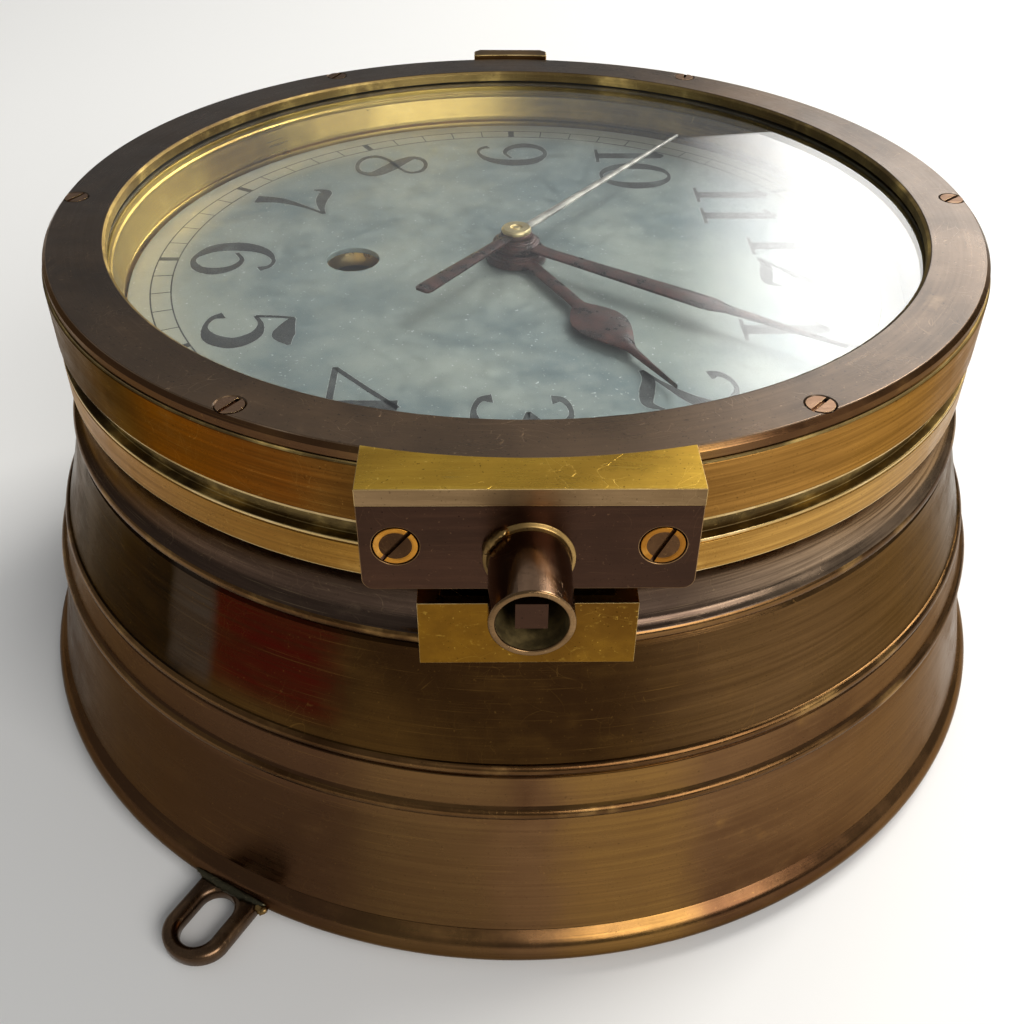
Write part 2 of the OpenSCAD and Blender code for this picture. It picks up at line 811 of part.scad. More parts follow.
module balance_cock() {
    color("goldenrod") difference() {
        union() {
            translate([-4.5, balance_pos[1], cock_z])
                cube([9, cock_foot[1] - balance_pos[1], cock_t]);
            translate([balance_pos[0], balance_pos[1], 0]) bar(4.5, cock_z, cock_z + cock_t);
            translate([cock_foot[0], cock_foot[1], 0]) bar(3, plates_low, cock_z + cock_t);
            translate([cock_foot[0], cock_foot[1], 0]) bar(4.5, cock_z, cock_z + cock_t);
        }
        translate([balance_pos[0], balance_pos[1], 0])
            bar(pivot_r + run, cock_z - 1, cock_z + cock_t + 1);
        translate([cock_foot[0], cock_foot[1], 0]) bar(1.2, plates_low + 2, cock_z + cock_t + 1);
    }
}

// ---------- barrel and winding ----------

barrel_r = 25;
drum_low = 44;
drum_top = 57;
flange_t = 2.2;
hub_r = 5;
module at_barrel() {
    translate([barrel_pos[0], barrel_pos[1], 0]) children();
}

// the drum's toothed floor is at the top; a tooth points at the intermediate pinion
barrel_phase = atan2(inter_pos[1] - barrel_pos[1], inter_pos[0] - barrel_pos[0]);
module mainspring_barrel() {
    color("goldenrod") at_barrel() rotate(barrel_phase) difference() {
        union() {
            translate([0, 0, drum_top - flange_t]) linear_extrude(flange_t) wheel_teeth(barrel_n, m_great);
            bar(barrel_r, drum_low, drum_top);
        }
        bar(barrel_r - 1.6, drum_low - 1, drum_top - flange_t);
        bar(3 + run, drum_low - 1, drum_top + 1);
    }
}

module barrel_cover() {
    color("gold") at_barrel() difference() {
        bar(barrel_r - 1.62, drum_low, drum_low + 1.4);
        bar(3 + run, drum_low - 1, drum_top);
    }
}

// a flat spiral strip between radii r0 and r1, as an outline
function spiral(r0, r1, turns, t, steps) = concat(
    [for (i = [0:steps]) let (a = 360 * turns * i / steps, r = r0 + (r1 - r0) * i / steps)
        r * [cos(a), sin(a)]],
    [for (i = [steps:-1:0]) let (a = 360 * turns * i / steps, r = r0 + t + (r1 - r0) * i / steps)
        r * [cos(a), sin(a)]]
);

module mainspring() {
    color("steelblue") at_barrel() translate([0, 0, drum_low + 1.9])
        linear_extrude(drum_top - flange_t - drum_low - 2.4)
            polygon(spiral(hub_r + 0.6, barrel_r - 2.4, 9, 0.6, 216));
}

module winding_arbor() {
    square_w = 5;
    square_low = front_plate_z + plate_t + 2;
    square_top = carrier_z - 0.5;
    color("silver") at_barrel() union() {
        bar(3, back_plate_z - 3.6, square_low);
        bar(hub_r, drum_low + 1.6, drum_top - flange_t - 0.2);
        translate([-square_w / 2, -square_w / 2, square_low - 0.5])
            cube([square_w, square_w, square_top - square_low + 0.5]);
    }
}

ratchet_n = 24;
ratchet_r = 11;
ratchet_tooth = 1.6;
ratchet_low = back_plate_z - 2.6;
ratchet_t = 2;
module ratchet_wheel() {
    pitch = 360 / ratchet_n;
    color("silver") at_barrel() translate([0, 0, ratchet_low]) linear_extrude(ratchet_t) difference() {
        polygon([for (i = [0:ratchet_n - 1]) each [
            ratchet_r * [cos(i * pitch), sin(i * pitch)],
            (ratchet_r - ratchet_tooth) * [cos(i * pitch + 1), sin(i * pitch + 1)]
        ]]);
        circle(3);
    }
}

// the click's nose stands in a tooth gap, and its underside follows the tooth's slope
click_dir = 112;
click_pos = barrel_pos + 15.5 * [cos(click_dir), sin(click_dir)];
function round_barrel(r, a) = barrel_pos + r * [cos(a), sin(a)];
module ratchet_click() {
    pitch = 360 / ratchet_n;
    nose_dir = 5 * pitch + 1.8;
    slope = ratchet_tooth / (pitch - 1);
    root = ratchet_r - ratchet_tooth + 0.3;
    color("silver") translate([0, 0, ratchet_low]) linear_extrude(ratchet_t) difference() {
        union() {
            translate(click_pos) circle(2.6);
            polygon(concat(
                [for (a = [0:4:24]) round_barrel(root + slope * a, nose_dir + a)],
                [click_pos + [-0.5, -2.4], click_pos + [1, 2.4], round_barrel(ratchet_r + 1.6, nose_dir)]
            ));
        }
        translate(click_pos) circle(1.2 + run);
    }
}

// ---------- train ----------

// turns a wheel so that a tooth or a gap meets its neighbour; see each call
function gap_phase(direction, n) = direction + 180 + 180 / n;

inter_wheel_z = 63.8;
inter_to_centre = atan2(-inter_pos[1], -inter_pos[0]);
module intermediate_wheel() {
    color("gold") translate([inter_pos[0], inter_pos[1], inter_wheel_z]) rotate(inter_to_centre)
        train_wheel(inter_n, m_main, 1.2, 1.4, 4);
}

module intermediate_arbor() {
    color("silver") translate([inter_pos[0], inter_pos[1], 0]) union() {
        bar(pivot_r, back_plate_z, front_plate_z + plate_t);
        bar(1.2, plates_low + 0.3, inter_wheel_z + 2);
        translate([0, 0, drum_top - flange_t - 0.5]) rotate(gap_phase(barrel_phase, inter_pinion_n))
            pinion(inter_pinion_n, m_great, flange_t + 1.1);
    }
}

centre_wheel_z = 67.2;
module centre_wheel() {
    color("gold") translate([0, 0, centre_wheel_z]) rotate(third_dir)
        train_wheel(centre_n, m_main, 1.9, 1.5, 5);
}

arbor_top = minute_hand_z + 1.9;
module centre_arbor() {
    color("silver") difference() {
        union() {
            bar(1.9, bridge_z, arbor_top);
            translate([0, 0, 62.8]) rotate(gap_phase(inter_to_centre, centre_pinion_n))
                pinion(centre_pinion_n, m_main, 3.2);
        }
        bar(0.85, bridge_z - 1, arbor_top + 1);
    }
}

cannon_z = front_plate_z + plate_t + 1;
module cannon_pinion() {
    color("silver") difference() {
        union() {
            bar(2.6, cannon_z, dial_top + 3.2);
            bar(2.2, dial_top + 3.2 - 1, dial_top + 5.5);
            translate([0, 0, cannon_z]) rotate(minute_dir + 180 / cannon_n)
                pinion(cannon_n, m_main, 3);
        }
        bar(1.9, cannon_z - 1, dial_top + 6);
    }
}

// the minute wheel turns the hour wheel through its own pinion
module minute_wheel() {
    color("gold") translate([minute_pos[0], minute_pos[1], 0]) difference() {
        union() {
            translate([0, 0, cannon_z + 0.8]) rotate(minute_dir + 180)
                train_wheel(minute_n, m_main, 1, 1.4, 4);
            translate([0, 0, cannon_z + 2.1]) rotate(gap_phase(minute_dir, minute_pinion_n))
                pinion(minute_pinion_n, m_hour, 5);
        }
        bar(1 + run, cannon_z - 1, carrier_z);
    }
}

module minute_wheel_stud() {
    color("silver") translate([minute_pos[0], minute_pos[1], 0]) union() {
        bar(1, front_plate_z, carrier_z - 1.2);
        bar(1.6, front_plate_z + plate_t, cannon_z + 0.6);
    }
}

hour_wheel_z = cannon_z + 4.4;
module hour_wheel() {
    pipe_top = dial_top + 2.9;
    color("gold") difference() {
        union() {
            translate([0, 0, hour_wheel_z]) rotate(minute_dir) train_wheel(hour_n, m_hour, 3, 1.4, 4);
            bar(3.3, hour_wheel_z - 0.4, dial_top + 0.9);
            bar(3, dial_top, pipe_top);
        }
        bar(2.68, hour_wheel_z - 1, pipe_top + 1);
    }
}

third_wheel_z = 51;
module third_wheel() {
    color("gold") translate([third_pos[0], third_pos[1], third_wheel_z]) rotate(third_dir + 180)
        train_wheel(third_n, m_third, 1.2, 1.4, 4);
}

module third_arbor() {
    color("silver") translate([third_pos[0], third_pos[1], 0]) union() {
        bar(pivot_r, back_plate_z, front_plate_z + plate_t);
        bar(1.2, plates_low + 0.3, front_plate_z - 0.3);
        translate([0, 0, centre_wheel_z - 0.6]) rotate(gap_phase(third_dir, third_pinion_n))
            pinion(third_pinion_n, m_main, 3);
    }
}

seconds_wheel_z = 58.2;
module seconds_wheel() {
    color("gold") translate([0, 0, seconds_wheel_z]) rotate(90)
        train_wheel(seconds_n, m_seconds, 1.2, 1.2, 5);
}

module seconds_arbor() {
    color("silver") union() {
        bar(pivot_r, back_plate_z, plates_low + 1);
        bar(1.2, plates_low + 0.3, seconds_wheel_z + 1.6);
        bar(0.75, seconds_wheel_z, seconds_hand_z + 0.9);
        translate([0, 0, third_wheel_z - 1.2]) rotate(gap_phase(third_dir + 180, seconds_pinion_n))
            pinion(seconds_pinion_n, m_third, 3.8);
    }
}

// ---------- escapement ----------

escape_z = 47;
escape_n = 15;
module escape_wheel() {
    pitch = 360 / escape_n;
    color("gold") translate([escape_pos[0], escape_pos[1], 0]) union() {
        bar(pivot_r, back_plate_z, bridge_z + bridge_t);
        bar(0.9, plates_low + 0.3, bridge_z - 0.3);
        translate([0, 0, seconds_wheel_z - 0.8]) rotate(gap_phase(90, escape_pinion_n))
            pinion(escape_pinion_n, m_seconds, 2.3);
        translate([0, 0, escape_z]) linear_extrude(1) difference() {
            polygon([for (i = [0:escape_n - 1]) let (a = i * pitch) each [
                (escape_r - 2.2) * [cos(a - 5), sin(a - 5)],
                escape_r * [cos(a + 2), sin(a + 2)],
                escape_r * [cos(a + 5), sin(a + 5)],
                (escape_r - 2.2) * [cos(a + 3), sin(a + 3)]
            ]]);
            for (k = [0:3]) rotate(45 + k * 90) translate([3.2, 0]) circle(1.2);
        }
    }
}

module pallet_lever() {
    fork_l = 8.2;
    color("silver") translate([lever_pos[0], lever_pos[1], 0]) union() {
        bar(pivot_r, back_plate_z, escape_z + 3);
        bar(1, plates_low + 0.3, escape_z + 2);
        translate([0, 0, escape_z]) linear_extrude(1) union() {
            circle(1.8);
            for (side = [-1, 1]) {
                rotate(side * 62 - 90) translate([0, -0.6]) square([6.6, 1.2]);
                rotate(side * 62 - 90) translate([5.6, side > 0 ? -1.1 : -0.6]) square([1.4, 1.7]);
            }
            translate([-0.6, 0]) square([1.2, fork_l]);
            for (side = [-1, 1]) translate([side * 1.1 - 0.35, fork_l - 0.4]) square([0.7, 1.8]);
            translate([-1.4, fork_l - 0.8]) square([2.8, 0.8]);
        }
    }
}

balance_r = 9.4;
balance_z = 50.2;
module balance_wheel() {
    color("gold") translate([balance_pos[0], balance_pos[1], balance_z]) linear_extrude(1.6) difference() {
        union() {
            difference() {
                circle(balance_r);
                circle(balance_r - 1.5);
            }
            translate([-balance_r + 1, -0.8]) square([2 * balance_r - 2, 1.6]);
            circle(2);
        }
        circle(0.9);
    }
}

// the staff carries the roller, whose pin ends just above the lever's fork
module balance_staff() {
    color("silver") translate([balance_pos[0], balance_pos[1], 0]) union() {
        bar(pivot_r, back_plate_z, cock_z + cock_t);
        bar(0.9, plates_low + 0.3, cock_z - 0.3);
        bar(2.2, escape_z + 1.6, escape_z + 2.4);
        translate([0, -1.7, 0]) bar(0.35, escape_z + 1.15, escape_z + 2);
        bar(1.3, balance_z + 2.4, balance_z + 3.8);
    }
}

module hairspring() {
    color("steelblue") translate([balance_pos[0], balance_pos[1], balance_z + 2.8])
        linear_extrude(0.6) polygon(spiral(1.6, 6.2, 8, 0.18, 192));
}

case_shell();
front_rim();
back_plate();
back_plate_screws();
mounting_lugs();
lock_keeper();
keeper_striker_pin();
case_hinge_leaf();
hinge_pin();
dial_carrier();
carrier_screws();
dial();
bezel_frame();
front_ring();
ring_screws();
bezel_glass();
glass_gasket();
bezel_seal();
bezel_hinge_leaf();
lock_housing();
lock_cover_plate();
lock_cover_screws();
key_tube();
lock_arbor();
lock_claw();
hour_hand();
minute_hand();
seconds_hand();
seconds_hand_cap();
movement_front_plate();
movement_back_plate();
plate_pillars();
movement_posts();
movement_screws();
centre_bridge();
mainspring_barrel();
barrel_cover();
mainspring();
winding_arbor();
ratchet_wheel();
ratchet_click();
intermediate_wheel();
intermediate_arbor();
centre_wheel();
centre_arbor();
cannon_pinion();
minute_wheel();
minute_wheel_stud();
hour_wheel();
third_wheel();
third_arbor();
seconds_wheel();
seconds_arbor();
escape_wheel();
pallet_lever();
balance_wheel();
balance_staff();
hairspring();
balance_cock();
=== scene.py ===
"""The ship's deck clock: finish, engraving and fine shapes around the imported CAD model."""
import json
import math

import bmesh
import bpy
from mathutils import Matrix, Quaternion, Vector


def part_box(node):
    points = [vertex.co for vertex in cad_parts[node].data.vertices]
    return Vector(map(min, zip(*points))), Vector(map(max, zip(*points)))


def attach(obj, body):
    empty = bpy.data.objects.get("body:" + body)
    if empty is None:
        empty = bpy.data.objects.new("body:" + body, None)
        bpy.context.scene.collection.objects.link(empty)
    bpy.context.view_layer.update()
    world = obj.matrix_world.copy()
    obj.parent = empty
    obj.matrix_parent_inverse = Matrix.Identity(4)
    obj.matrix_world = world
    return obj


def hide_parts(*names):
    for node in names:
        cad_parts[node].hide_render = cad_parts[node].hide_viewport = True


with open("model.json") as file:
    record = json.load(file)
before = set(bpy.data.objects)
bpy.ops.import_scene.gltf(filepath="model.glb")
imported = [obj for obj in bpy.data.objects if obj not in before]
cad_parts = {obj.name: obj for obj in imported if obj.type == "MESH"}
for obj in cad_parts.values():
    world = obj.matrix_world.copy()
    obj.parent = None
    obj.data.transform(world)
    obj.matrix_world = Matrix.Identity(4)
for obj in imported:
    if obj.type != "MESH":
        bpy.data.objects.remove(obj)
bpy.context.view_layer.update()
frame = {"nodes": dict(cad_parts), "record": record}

MM = 0.001
ROUND = 256


# ---------- sizes from the frame, in millimetres ----------

def low(node):
    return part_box(node)[0] / MM


def high(node):
    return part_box(node)[1] / MM


top = high("front_ring").z
ring_z = low("front_ring").z
ring_r = high("front_ring").x
bezel_z = low("bezel_frame").z
bezel_r = high("bezel_frame").x
rim_top = high("front_rim").z
flange_z = high("case_shell").z
glass_z = low("bezel_glass").z
glass_top = high("bezel_glass").z
glass_r = high("bezel_glass").x
seat_z = low("glass_gasket").z
base_r = -low("case_shell").x
dial_top = high("dial").z
dial_r = high("dial").x
carrier_z = low("dial_carrier").z
tube_r = high("key_tube").x
tube_end = low("key_tube").y
tube_root = high("key_tube").y
lock_z = (low("key_tube").z + high("key_tube").z) / 2
opening_r = glass_r - 3.9
rim_bore_r = dial_r + 0.6
flange_r = bezel_r - 0.1
flange_top = rim_top - 3.2


# ---------- mesh helpers ----------

def finish_mesh(name, mesh, materials, sharp=35):
    for material in materials:
        mesh.materials.append(material)
    mesh.polygons.foreach_set("use_smooth", [True] * len(mesh.polygons))
    mesh.set_sharp_from_angle(angle=math.radians(sharp))
    piece = bpy.data.objects.new(name, mesh)
    bpy.context.scene.collection.objects.link(piece)
    return piece


def mesh_of(name, verts, faces):
    mesh = bpy.data.meshes.new(name)
    mesh.from_pydata([Vector(v) * MM for v in verts], [], faces)
    bm = bmesh.new()
    bm.from_mesh(mesh)
    bmesh.ops.recalc_face_normals(bm, faces=bm.faces)
    bm.to_mesh(mesh)
    bm.free()
    return mesh


def polar(radius, angle):
    """x and y of a point at an angle in degrees."""
    return radius * math.cos(math.radians(angle)), radius * math.sin(math.radians(angle))


def arc(cx, cy, radius, start, end, steps):
    """Points of an arc, angles in degrees."""
    turns = (polar(radius, start + (end - start) * i / steps) for i in range(steps + 1))
    return [(cx + x, cy + y) for x, y in turns]


def filleted(corners, steps=4):
    """A closed outline whose corners (x, y, radius) are rounded off.

    A point a little beyond each end of a rounding keeps the flat beside it shaded flat.
    """
    hold = 0.06
    made = []
    for i, (x, y, radius) in enumerate(corners):
        here = Vector((x, y))
        before = Vector(corners[i - 1][:2]) - here
        after = Vector(corners[(i + 1) % len(corners)][:2]) - here
        half = before.angle(after, 0) / 2
        if radius <= 0 or not math.radians(5) <= half <= math.radians(88):
            made.append((x, y))
            continue
        reach = min(radius / math.tan(half), before.length * 0.48, after.length * 0.48)
        a, b = here + before.normalized() * reach, here + after.normalized() * reach
        if before.length * 0.48 > reach + hold:
            made.append(tuple(here + before.normalized() * (reach + hold)))
        for k in range(steps + 1):
            t = k / steps
            made.append(tuple(a * (1 - t) ** 2 + here * 2 * t * (1 - t) + b * t * t))
        if after.length * 0.48 > reach + hold:
            made.append(tuple(here + after.normalized() * (reach + hold)))
    return made


def lathe(name, outline, materials, pick=None, steps=ROUND, axis="Z", centre=(0, 0, 0)):
    """A closed outline of (radius, height) turned round an axis. pick gives a face's material."""
    count = len(outline)
    verts, faces = [], []
    for s in range(steps):
        a = 2 * math.pi * s / steps
        for r, h in outline:
            if axis == "Z":
                verts.append((centre[0] + r * math.cos(a), centre[1] + r * math.sin(a), centre[2] + h))
            else:
                verts.append((centre[0] + r * math.cos(a), centre[1] - h, centre[2] + r * math.sin(a)))
    for s in range(steps):
        n = (s + 1) % steps
        for i in range(count):
            j = (i + 1) % count
            faces.append((s * count + i, s * count + j, n * count + j, n * count + i))
    mesh = mesh_of(name, verts, faces)
    bm = bmesh.new()
    bm.from_mesh(mesh)
    bmesh.ops.remove_doubles(bm, verts=bm.verts, dist=1e-6)
    if pick:
        for face in bm.faces:
            c = face.calc_center_median() / MM - Vector(centre)
            r, h = (math.hypot(c.x, c.y), c.z) if axis == "Z" else (math.hypot(c.x, c.z), -c.y)
            face.material_index = pick(r, h)
    bm.to_mesh(mesh)
    bm.free()
    return finish_mesh(name, mesh, materials)


def settle(piece, sharp=35):
    """Applies a piece's modifiers."""
    bpy.context.view_layer.update()
    seen = piece.evaluated_get(bpy.context.evaluated_depsgraph_get())
    piece.data = bpy.data.meshes.new_from_object(seen)
    piece.modifiers.clear()
    piece.data.set_sharp_from_angle(angle=math.radians(sharp))


def drilled(piece, cutters):
    """Takes the cutters' shapes out of a piece."""
    cutter = joined("cutter", cutters)
    holes = piece.modifiers.new("holes", "BOOLEAN")
    holes.operation = "DIFFERENCE"
    holes.solver = "EXACT"
    holes.object = cutter
    settle(piece)
    bpy.data.objects.remove(cutter)


def placed(piece, body, node=None):
    """Hides the CAD node whose place a piece takes, if there is one, and puts the piece on its body."""
    if node:
        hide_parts(node)
    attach(piece, body)


def finished(node, material, bevel, body, edge=None, other=None, where=None):
    """The CAD node's own shape with its edges rounded off, in their own material if it has one.

    Flat faces for which where(centre, normal) is true get the other material.
    """
    mesh = bpy.data.meshes.new(node + "_finished")
    bm = bmesh.new()
    bm.from_mesh(frame["nodes"][node].data)
    bmesh.ops.remove_doubles(bm, verts=bm.verts, dist=2e-6)
    bmesh.ops.dissolve_limit(bm, angle_limit=math.radians(0.6), verts=bm.verts, edges=bm.edges)
    edges = [e for e in bm.edges if e.is_manifold and e.calc_face_angle(0) > math.radians(30)]
    for face in bm.faces:
        face.material_index = 0
    rounded = bmesh.ops.bevel(
        bm, geom=edges, offset=bevel * MM, segments=2, profile=0.6, affect="EDGES", clamp_overlap=True,
    )
    for face in rounded["faces"]:
        face.material_index = 1
    for face in bm.faces:
        if where and face.material_index == 0 and where(face.calc_center_median() / MM, face.normal):
            face.material_index = 2
    bm.to_mesh(mesh)
    bm.free()
    piece = finish_mesh(mesh.name, mesh, [material, edge or material, other or material], sharp=50)
    even = piece.modifiers.new("even", "WEIGHTED_NORMAL")
    even.keep_sharp = True
    settle(piece, 50)
    placed(piece, body, node)


def joined(name, pieces):
    """Several meshes as one piece."""
    bm = bmesh.new()
    materials = []
    for piece in pieces:
        materials += [m for m in piece.data.materials if m not in materials]
        wanted = [materials.index(m) for m in piece.data.materials]
        for face in piece.data.polygons:
            face.material_index = wanted[face.material_index]
        bm.from_mesh(piece.data)
    mesh = bpy.data.meshes.new(name)
    bm.to_mesh(mesh)
    bm.free()
    for piece in pieces:
        bpy.data.objects.remove(piece)
    return finish_mesh(name, mesh, materials)


# ---------- shader helpers ----------

class Shade:
    """A material whose nodes are made by short calls."""

    def __init__(self, name, **sockets):
        self.material = bpy.data.materials.new(name)
        self.material.use_nodes = True
        self.nodes = self.material.node_tree.nodes
        self.links = self.material.node_tree.links
        self.shader = self.nodes["Principled BSDF"]
        for key, value in sockets.items():
            self.put(self.shader.inputs[key.replace("_", " ")], value)
        self.place = self.add("TexCoord").outputs["Object"]

    def put(self, socket, value):
        if isinstance(value, bpy.types.NodeSocket):
            self.links.new(value, socket)
        else:
            socket.default_value = value

    def add(self, kind, settings=None, **sockets):
        node = self.nodes.new("ShaderNode" + kind)
        for key, value in (settings or {}).items():
            setattr(node, key, value)
        for key, value in sockets.items():
            self.put(node.inputs[key.replace("_", " ")], value)
        return node

    def noise(self, scale, detail=3.0, rough=0.55, at=None, w=None, distortion=0.0):
        dims = "3D" if w is None else "4D"
        node = self.add("TexNoise", {"noise_dimensions": dims}, Scale=scale, Detail=detail, Roughness=rough,
                        Distortion=distortion)
        self.put(node.inputs["Vector"], at or self.place)
        if w is not None:
            self.put(node.inputs["W"], w)
        return node.outputs["Fac"]

    def math(self, operation, a, b=0.0):
        node = self.add("Math", {"operation": operation})
        self.put(node.inputs[0], a)
        self.put(node.inputs[1], b)
        return node.outputs[0]

    def span(self, value, start, end, out_start=0.0, out_end=1.0):
        node = self.add("MapRange", {"interpolation_type": "SMOOTHSTEP"})
        for socket, v in zip(node.inputs[:5], (value, start, end, out_start, out_end)):
            self.put(socket, v)
        return node.outputs[0]

    def mix(self, share, a, b, blend="MIX"):
        node = self.add("Mix", {"data_type": "RGBA", "blend_type": blend})
        self.put(node.inputs[0], share)
        for socket, v in ((node.inputs[6], a), (node.inputs[7], b)):
            self.put(socket, v if isinstance(v, bpy.types.NodeSocket) else (*v, 1.0))
        return node.outputs[2]

    def bump(self, height, distance, strength=1.0, normal=None):
        node = self.add("Bump", Strength=strength, Distance=distance * MM, Height=height)
        if normal is not None:
            self.put(node.inputs["Normal"], normal)
        return node.outputs["Normal"]

    def cylinder(self):
        """(x / r, y / r, r) and z of a point, for grain that runs round the clock's axis."""
        parts = self.add("SeparateXYZ", Vector=self.place)
        x, y, z = parts.outputs
        flat = self.add("CombineXYZ", X=x, Y=y, Z=0.0).outputs[0]
        r = self.add("VectorMath", {"operation": "LENGTH"}, Vector=flat).outputs["Value"]
        safe = self.math("MAXIMUM", r, 1e-5)
        return self.math("DIVIDE", x, safe), self.math("DIVIDE", y, safe), r, z

    def turned(self, around, across, detail=2.0):
        """Noise drawn out into lines round the clock's axis."""
        cx, cy, r, z = self.ring
        at = self.add(
            "CombineXYZ",
            X=self.math("MULTIPLY", cx, around),
            Y=self.math("MULTIPLY", cy, around),
            Z=self.math("MULTIPLY", r, across),
        ).outputs[0]
        return self.noise(1.0, detail, 0.6, at=at, w=self.math("MULTIPLY", z, across))

    def stretched(self, *scale):
        node = self.add("Mapping", Vector=self.place)
        node.inputs["Scale"].default_value = scale
        return node.outputs[0]

    def finish(self, base, roughness, normal):
        """Joins up the shader's colour, roughness and relief."""
        self.put(self.shader.inputs["Base Color"], base)
        self.put(self.shader.inputs["Roughness"], roughness)
        self.put(self.shader.inputs["Normal"], normal)
        return self.material


def old_brass(name, dark, mid, bright, rough=0.3, wear=0.5, turned=True, grain=(40, 700, 700), speckle=0.5,
              lines=0.35, scratch=0.3, seed=0.0, stains_and_painted_light=(), rim=(0.8, 0.76, 0.72), coat=0.0):
    """Aged brass. dark, mid and bright are its patina's colours; wear is how much bright shows.

    The patches listed are real stains and patches of painted light and shade, as said at each material.
    Each is the direction it lies in round the clock's axis, how far from there it starts and is full,
    all in degrees, its colour, and the height in millimetres that it stays above if it has one.
    """
    s = Shade(name, Metallic=1.0, Anisotropic=0.5 if turned else 0.0, Specular_Tint=(*rim, 1.0),
              Coat_Weight=coat, Coat_Roughness=0.22)
    s.ring = s.cylinder()
    shift = s.add("VectorMath", {"operation": "ADD"}, Vector=s.place)
    shift.inputs[1].default_value = (seed, seed * 0.7, -seed)
    s.place = shift.outputs[0]
    broad = s.noise(17, 4, 0.55, distortion=0.6)
    cloud = s.noise(75, 5, 0.6)
    fine = s.noise(900, 3, 0.6)
    dots = s.noise(2300, 2, 0.5)
    if turned:
        sweep = s.turned(7.0, 130.0, 4.0)
        line = s.turned(2.5, 1400.0, 3.0)
        hair = s.turned(6.0, 6000.0, 1.0)
        tangent = s.add("Tangent", {"direction_type": "RADIAL", "axis": "Z"}).outputs[0]
        s.put(s.shader.inputs["Tangent"], tangent)
    else:
        sweep = s.noise(1.0, 4, 0.6, at=s.stretched(*(v * 0.25 for v in grain)))
        line = s.noise(1.0, 3, 0.6, at=s.stretched(*(v * 2 for v in grain)))
        hair = s.noise(1.0, 2, 0.6, at=s.stretched(*(v * 6 for v in grain)))
    base = s.mix(s.span(broad, 0.36, 0.64), dark, mid)
    base = s.mix(s.math("MULTIPLY", s.span(sweep, 0.42, 0.75), 0.75), base, mid)
    shown = s.math("ADD", s.math("MULTIPLY", sweep, 0.5), s.math("MULTIPLY", cloud, 0.5))
    base = s.mix(s.span(shown, 0.66 - 0.22 * wear, 0.84 - 0.22 * wear, 0.0, 0.9), base, bright)
    # lays on the real stains and the patches of painted light and shade one by one
    for toward, start, full, colour, *above in stains_and_painted_light:
        dx, dy = polar(1, toward)
        facing = s.math("ADD", s.math("MULTIPLY", s.ring[0], dx), s.math("MULTIPLY", s.ring[1], dy))
        ragged = min(0.06, 1.2 * (1 - math.cos(math.radians(start))))
        facing = s.math("ADD", facing, s.math("MULTIPLY", s.math("SUBTRACT", cloud, 0.5), ragged))
        patch = s.span(facing, math.cos(math.radians(start)), math.cos(math.radians(full)))
        for height in above:
            patch = s.math("MULTIPLY", patch, s.span(s.ring[3], (height - 3) * MM, (height + 2) * MM))
        base = s.mix(s.math("MULTIPLY", patch, s.span(sweep, 0.35, 0.8, 1.0, 0.72)), base, colour)
    cells = s.add("TexVoronoi", {"feature": "DISTANCE_TO_EDGE"}, Scale=55.0)
    warped = s.add("VectorMath", {"operation": "ADD"}, Vector=s.stretched(1.0, 0.33, 0.6))
    s.put(warped.inputs[1], s.add("TexNoise", Vector=s.place, Scale=14.0, Detail=2.0).outputs["Color"])
    s.put(cells.inputs["Vector"], warped.outputs[0])
    cut = s.span(cells.outputs["Distance"], 0.0, 0.010, scratch, 0.0)
    cut = s.math("MULTIPLY", cut, s.span(s.noise(120, 2, 0.5), 0.45, 0.6))
    base = s.mix(s.span(line, 0.30, 0.75, lines, 0.0), base, dark)
    base = s.mix(s.span(hair, 0.62, 0.80, 0.0, lines * 0.6), base, bright)
    base = s.mix(s.math("MULTIPLY", cut, 0.8), base, bright)
    base = s.mix(s.span(dots, 0.66, 0.74, 0.0, speckle), base, tuple(v * 0.25 for v in dark))
    base = s.mix(s.span(s.noise(1700, 2, 0.5), 0.69, 0.76, 0.0, 0.55 * speckle), base, bright)
    roughness = s.math("ADD", s.span(cloud, 0.3, 0.75, rough - 0.07, rough + 0.13),
                       s.span(line, 0.35, 0.75, 0.05, -0.03))
    relief = s.math("ADD", s.math("MULTIPLY", line, 0.6), s.math("MULTIPLY", hair, 0.5))
    relief = s.math("ADD", relief, s.math("MULTIPLY", fine, 0.5))
    return s.finish(base, roughness, s.bump(s.math("SUBTRACT", relief, cut), 0.018))


def plain_metal(name, colour, rough, variation=0.25, scale=300):
    """Clean metal with faint clouding and a fine tooled surface."""
    s = Shade(name, Metallic=1.0)
    cloud = s.noise(scale, 4, 0.6)
    base = s.mix(s.span(cloud, 0.3, 0.7), tuple(v * (1 - variation) for v in colour), colour)
    roughness = s.span(cloud, 0.25, 0.75, rough - 0.2 * variation, rough + 0.4 * variation)
    return s.finish(base, roughness, s.bump(s.noise(4500, 2, 0.5), 0.01, 0.6))


# ---------- materials ----------

case_paint = old_brass("case patina", (0.08, 0.036, 0.015), (0.175, 0.09, 0.036), (0.38, 0.2, 0.055),
    rough=0.22, wear=0.4, speckle=0.4, lines=0.4, scratch=0.1, rim=(0.6, 0.53, 0.46), coat=0.05,
    stains_and_painted_light=((-100, 10, 3, (0.155, 0.082, 0.028)), (-80, 9, 3, (0.22, 0.115, 0.03)),
    (-128, 26, 12, (0.085, 0.04, 0.018))))
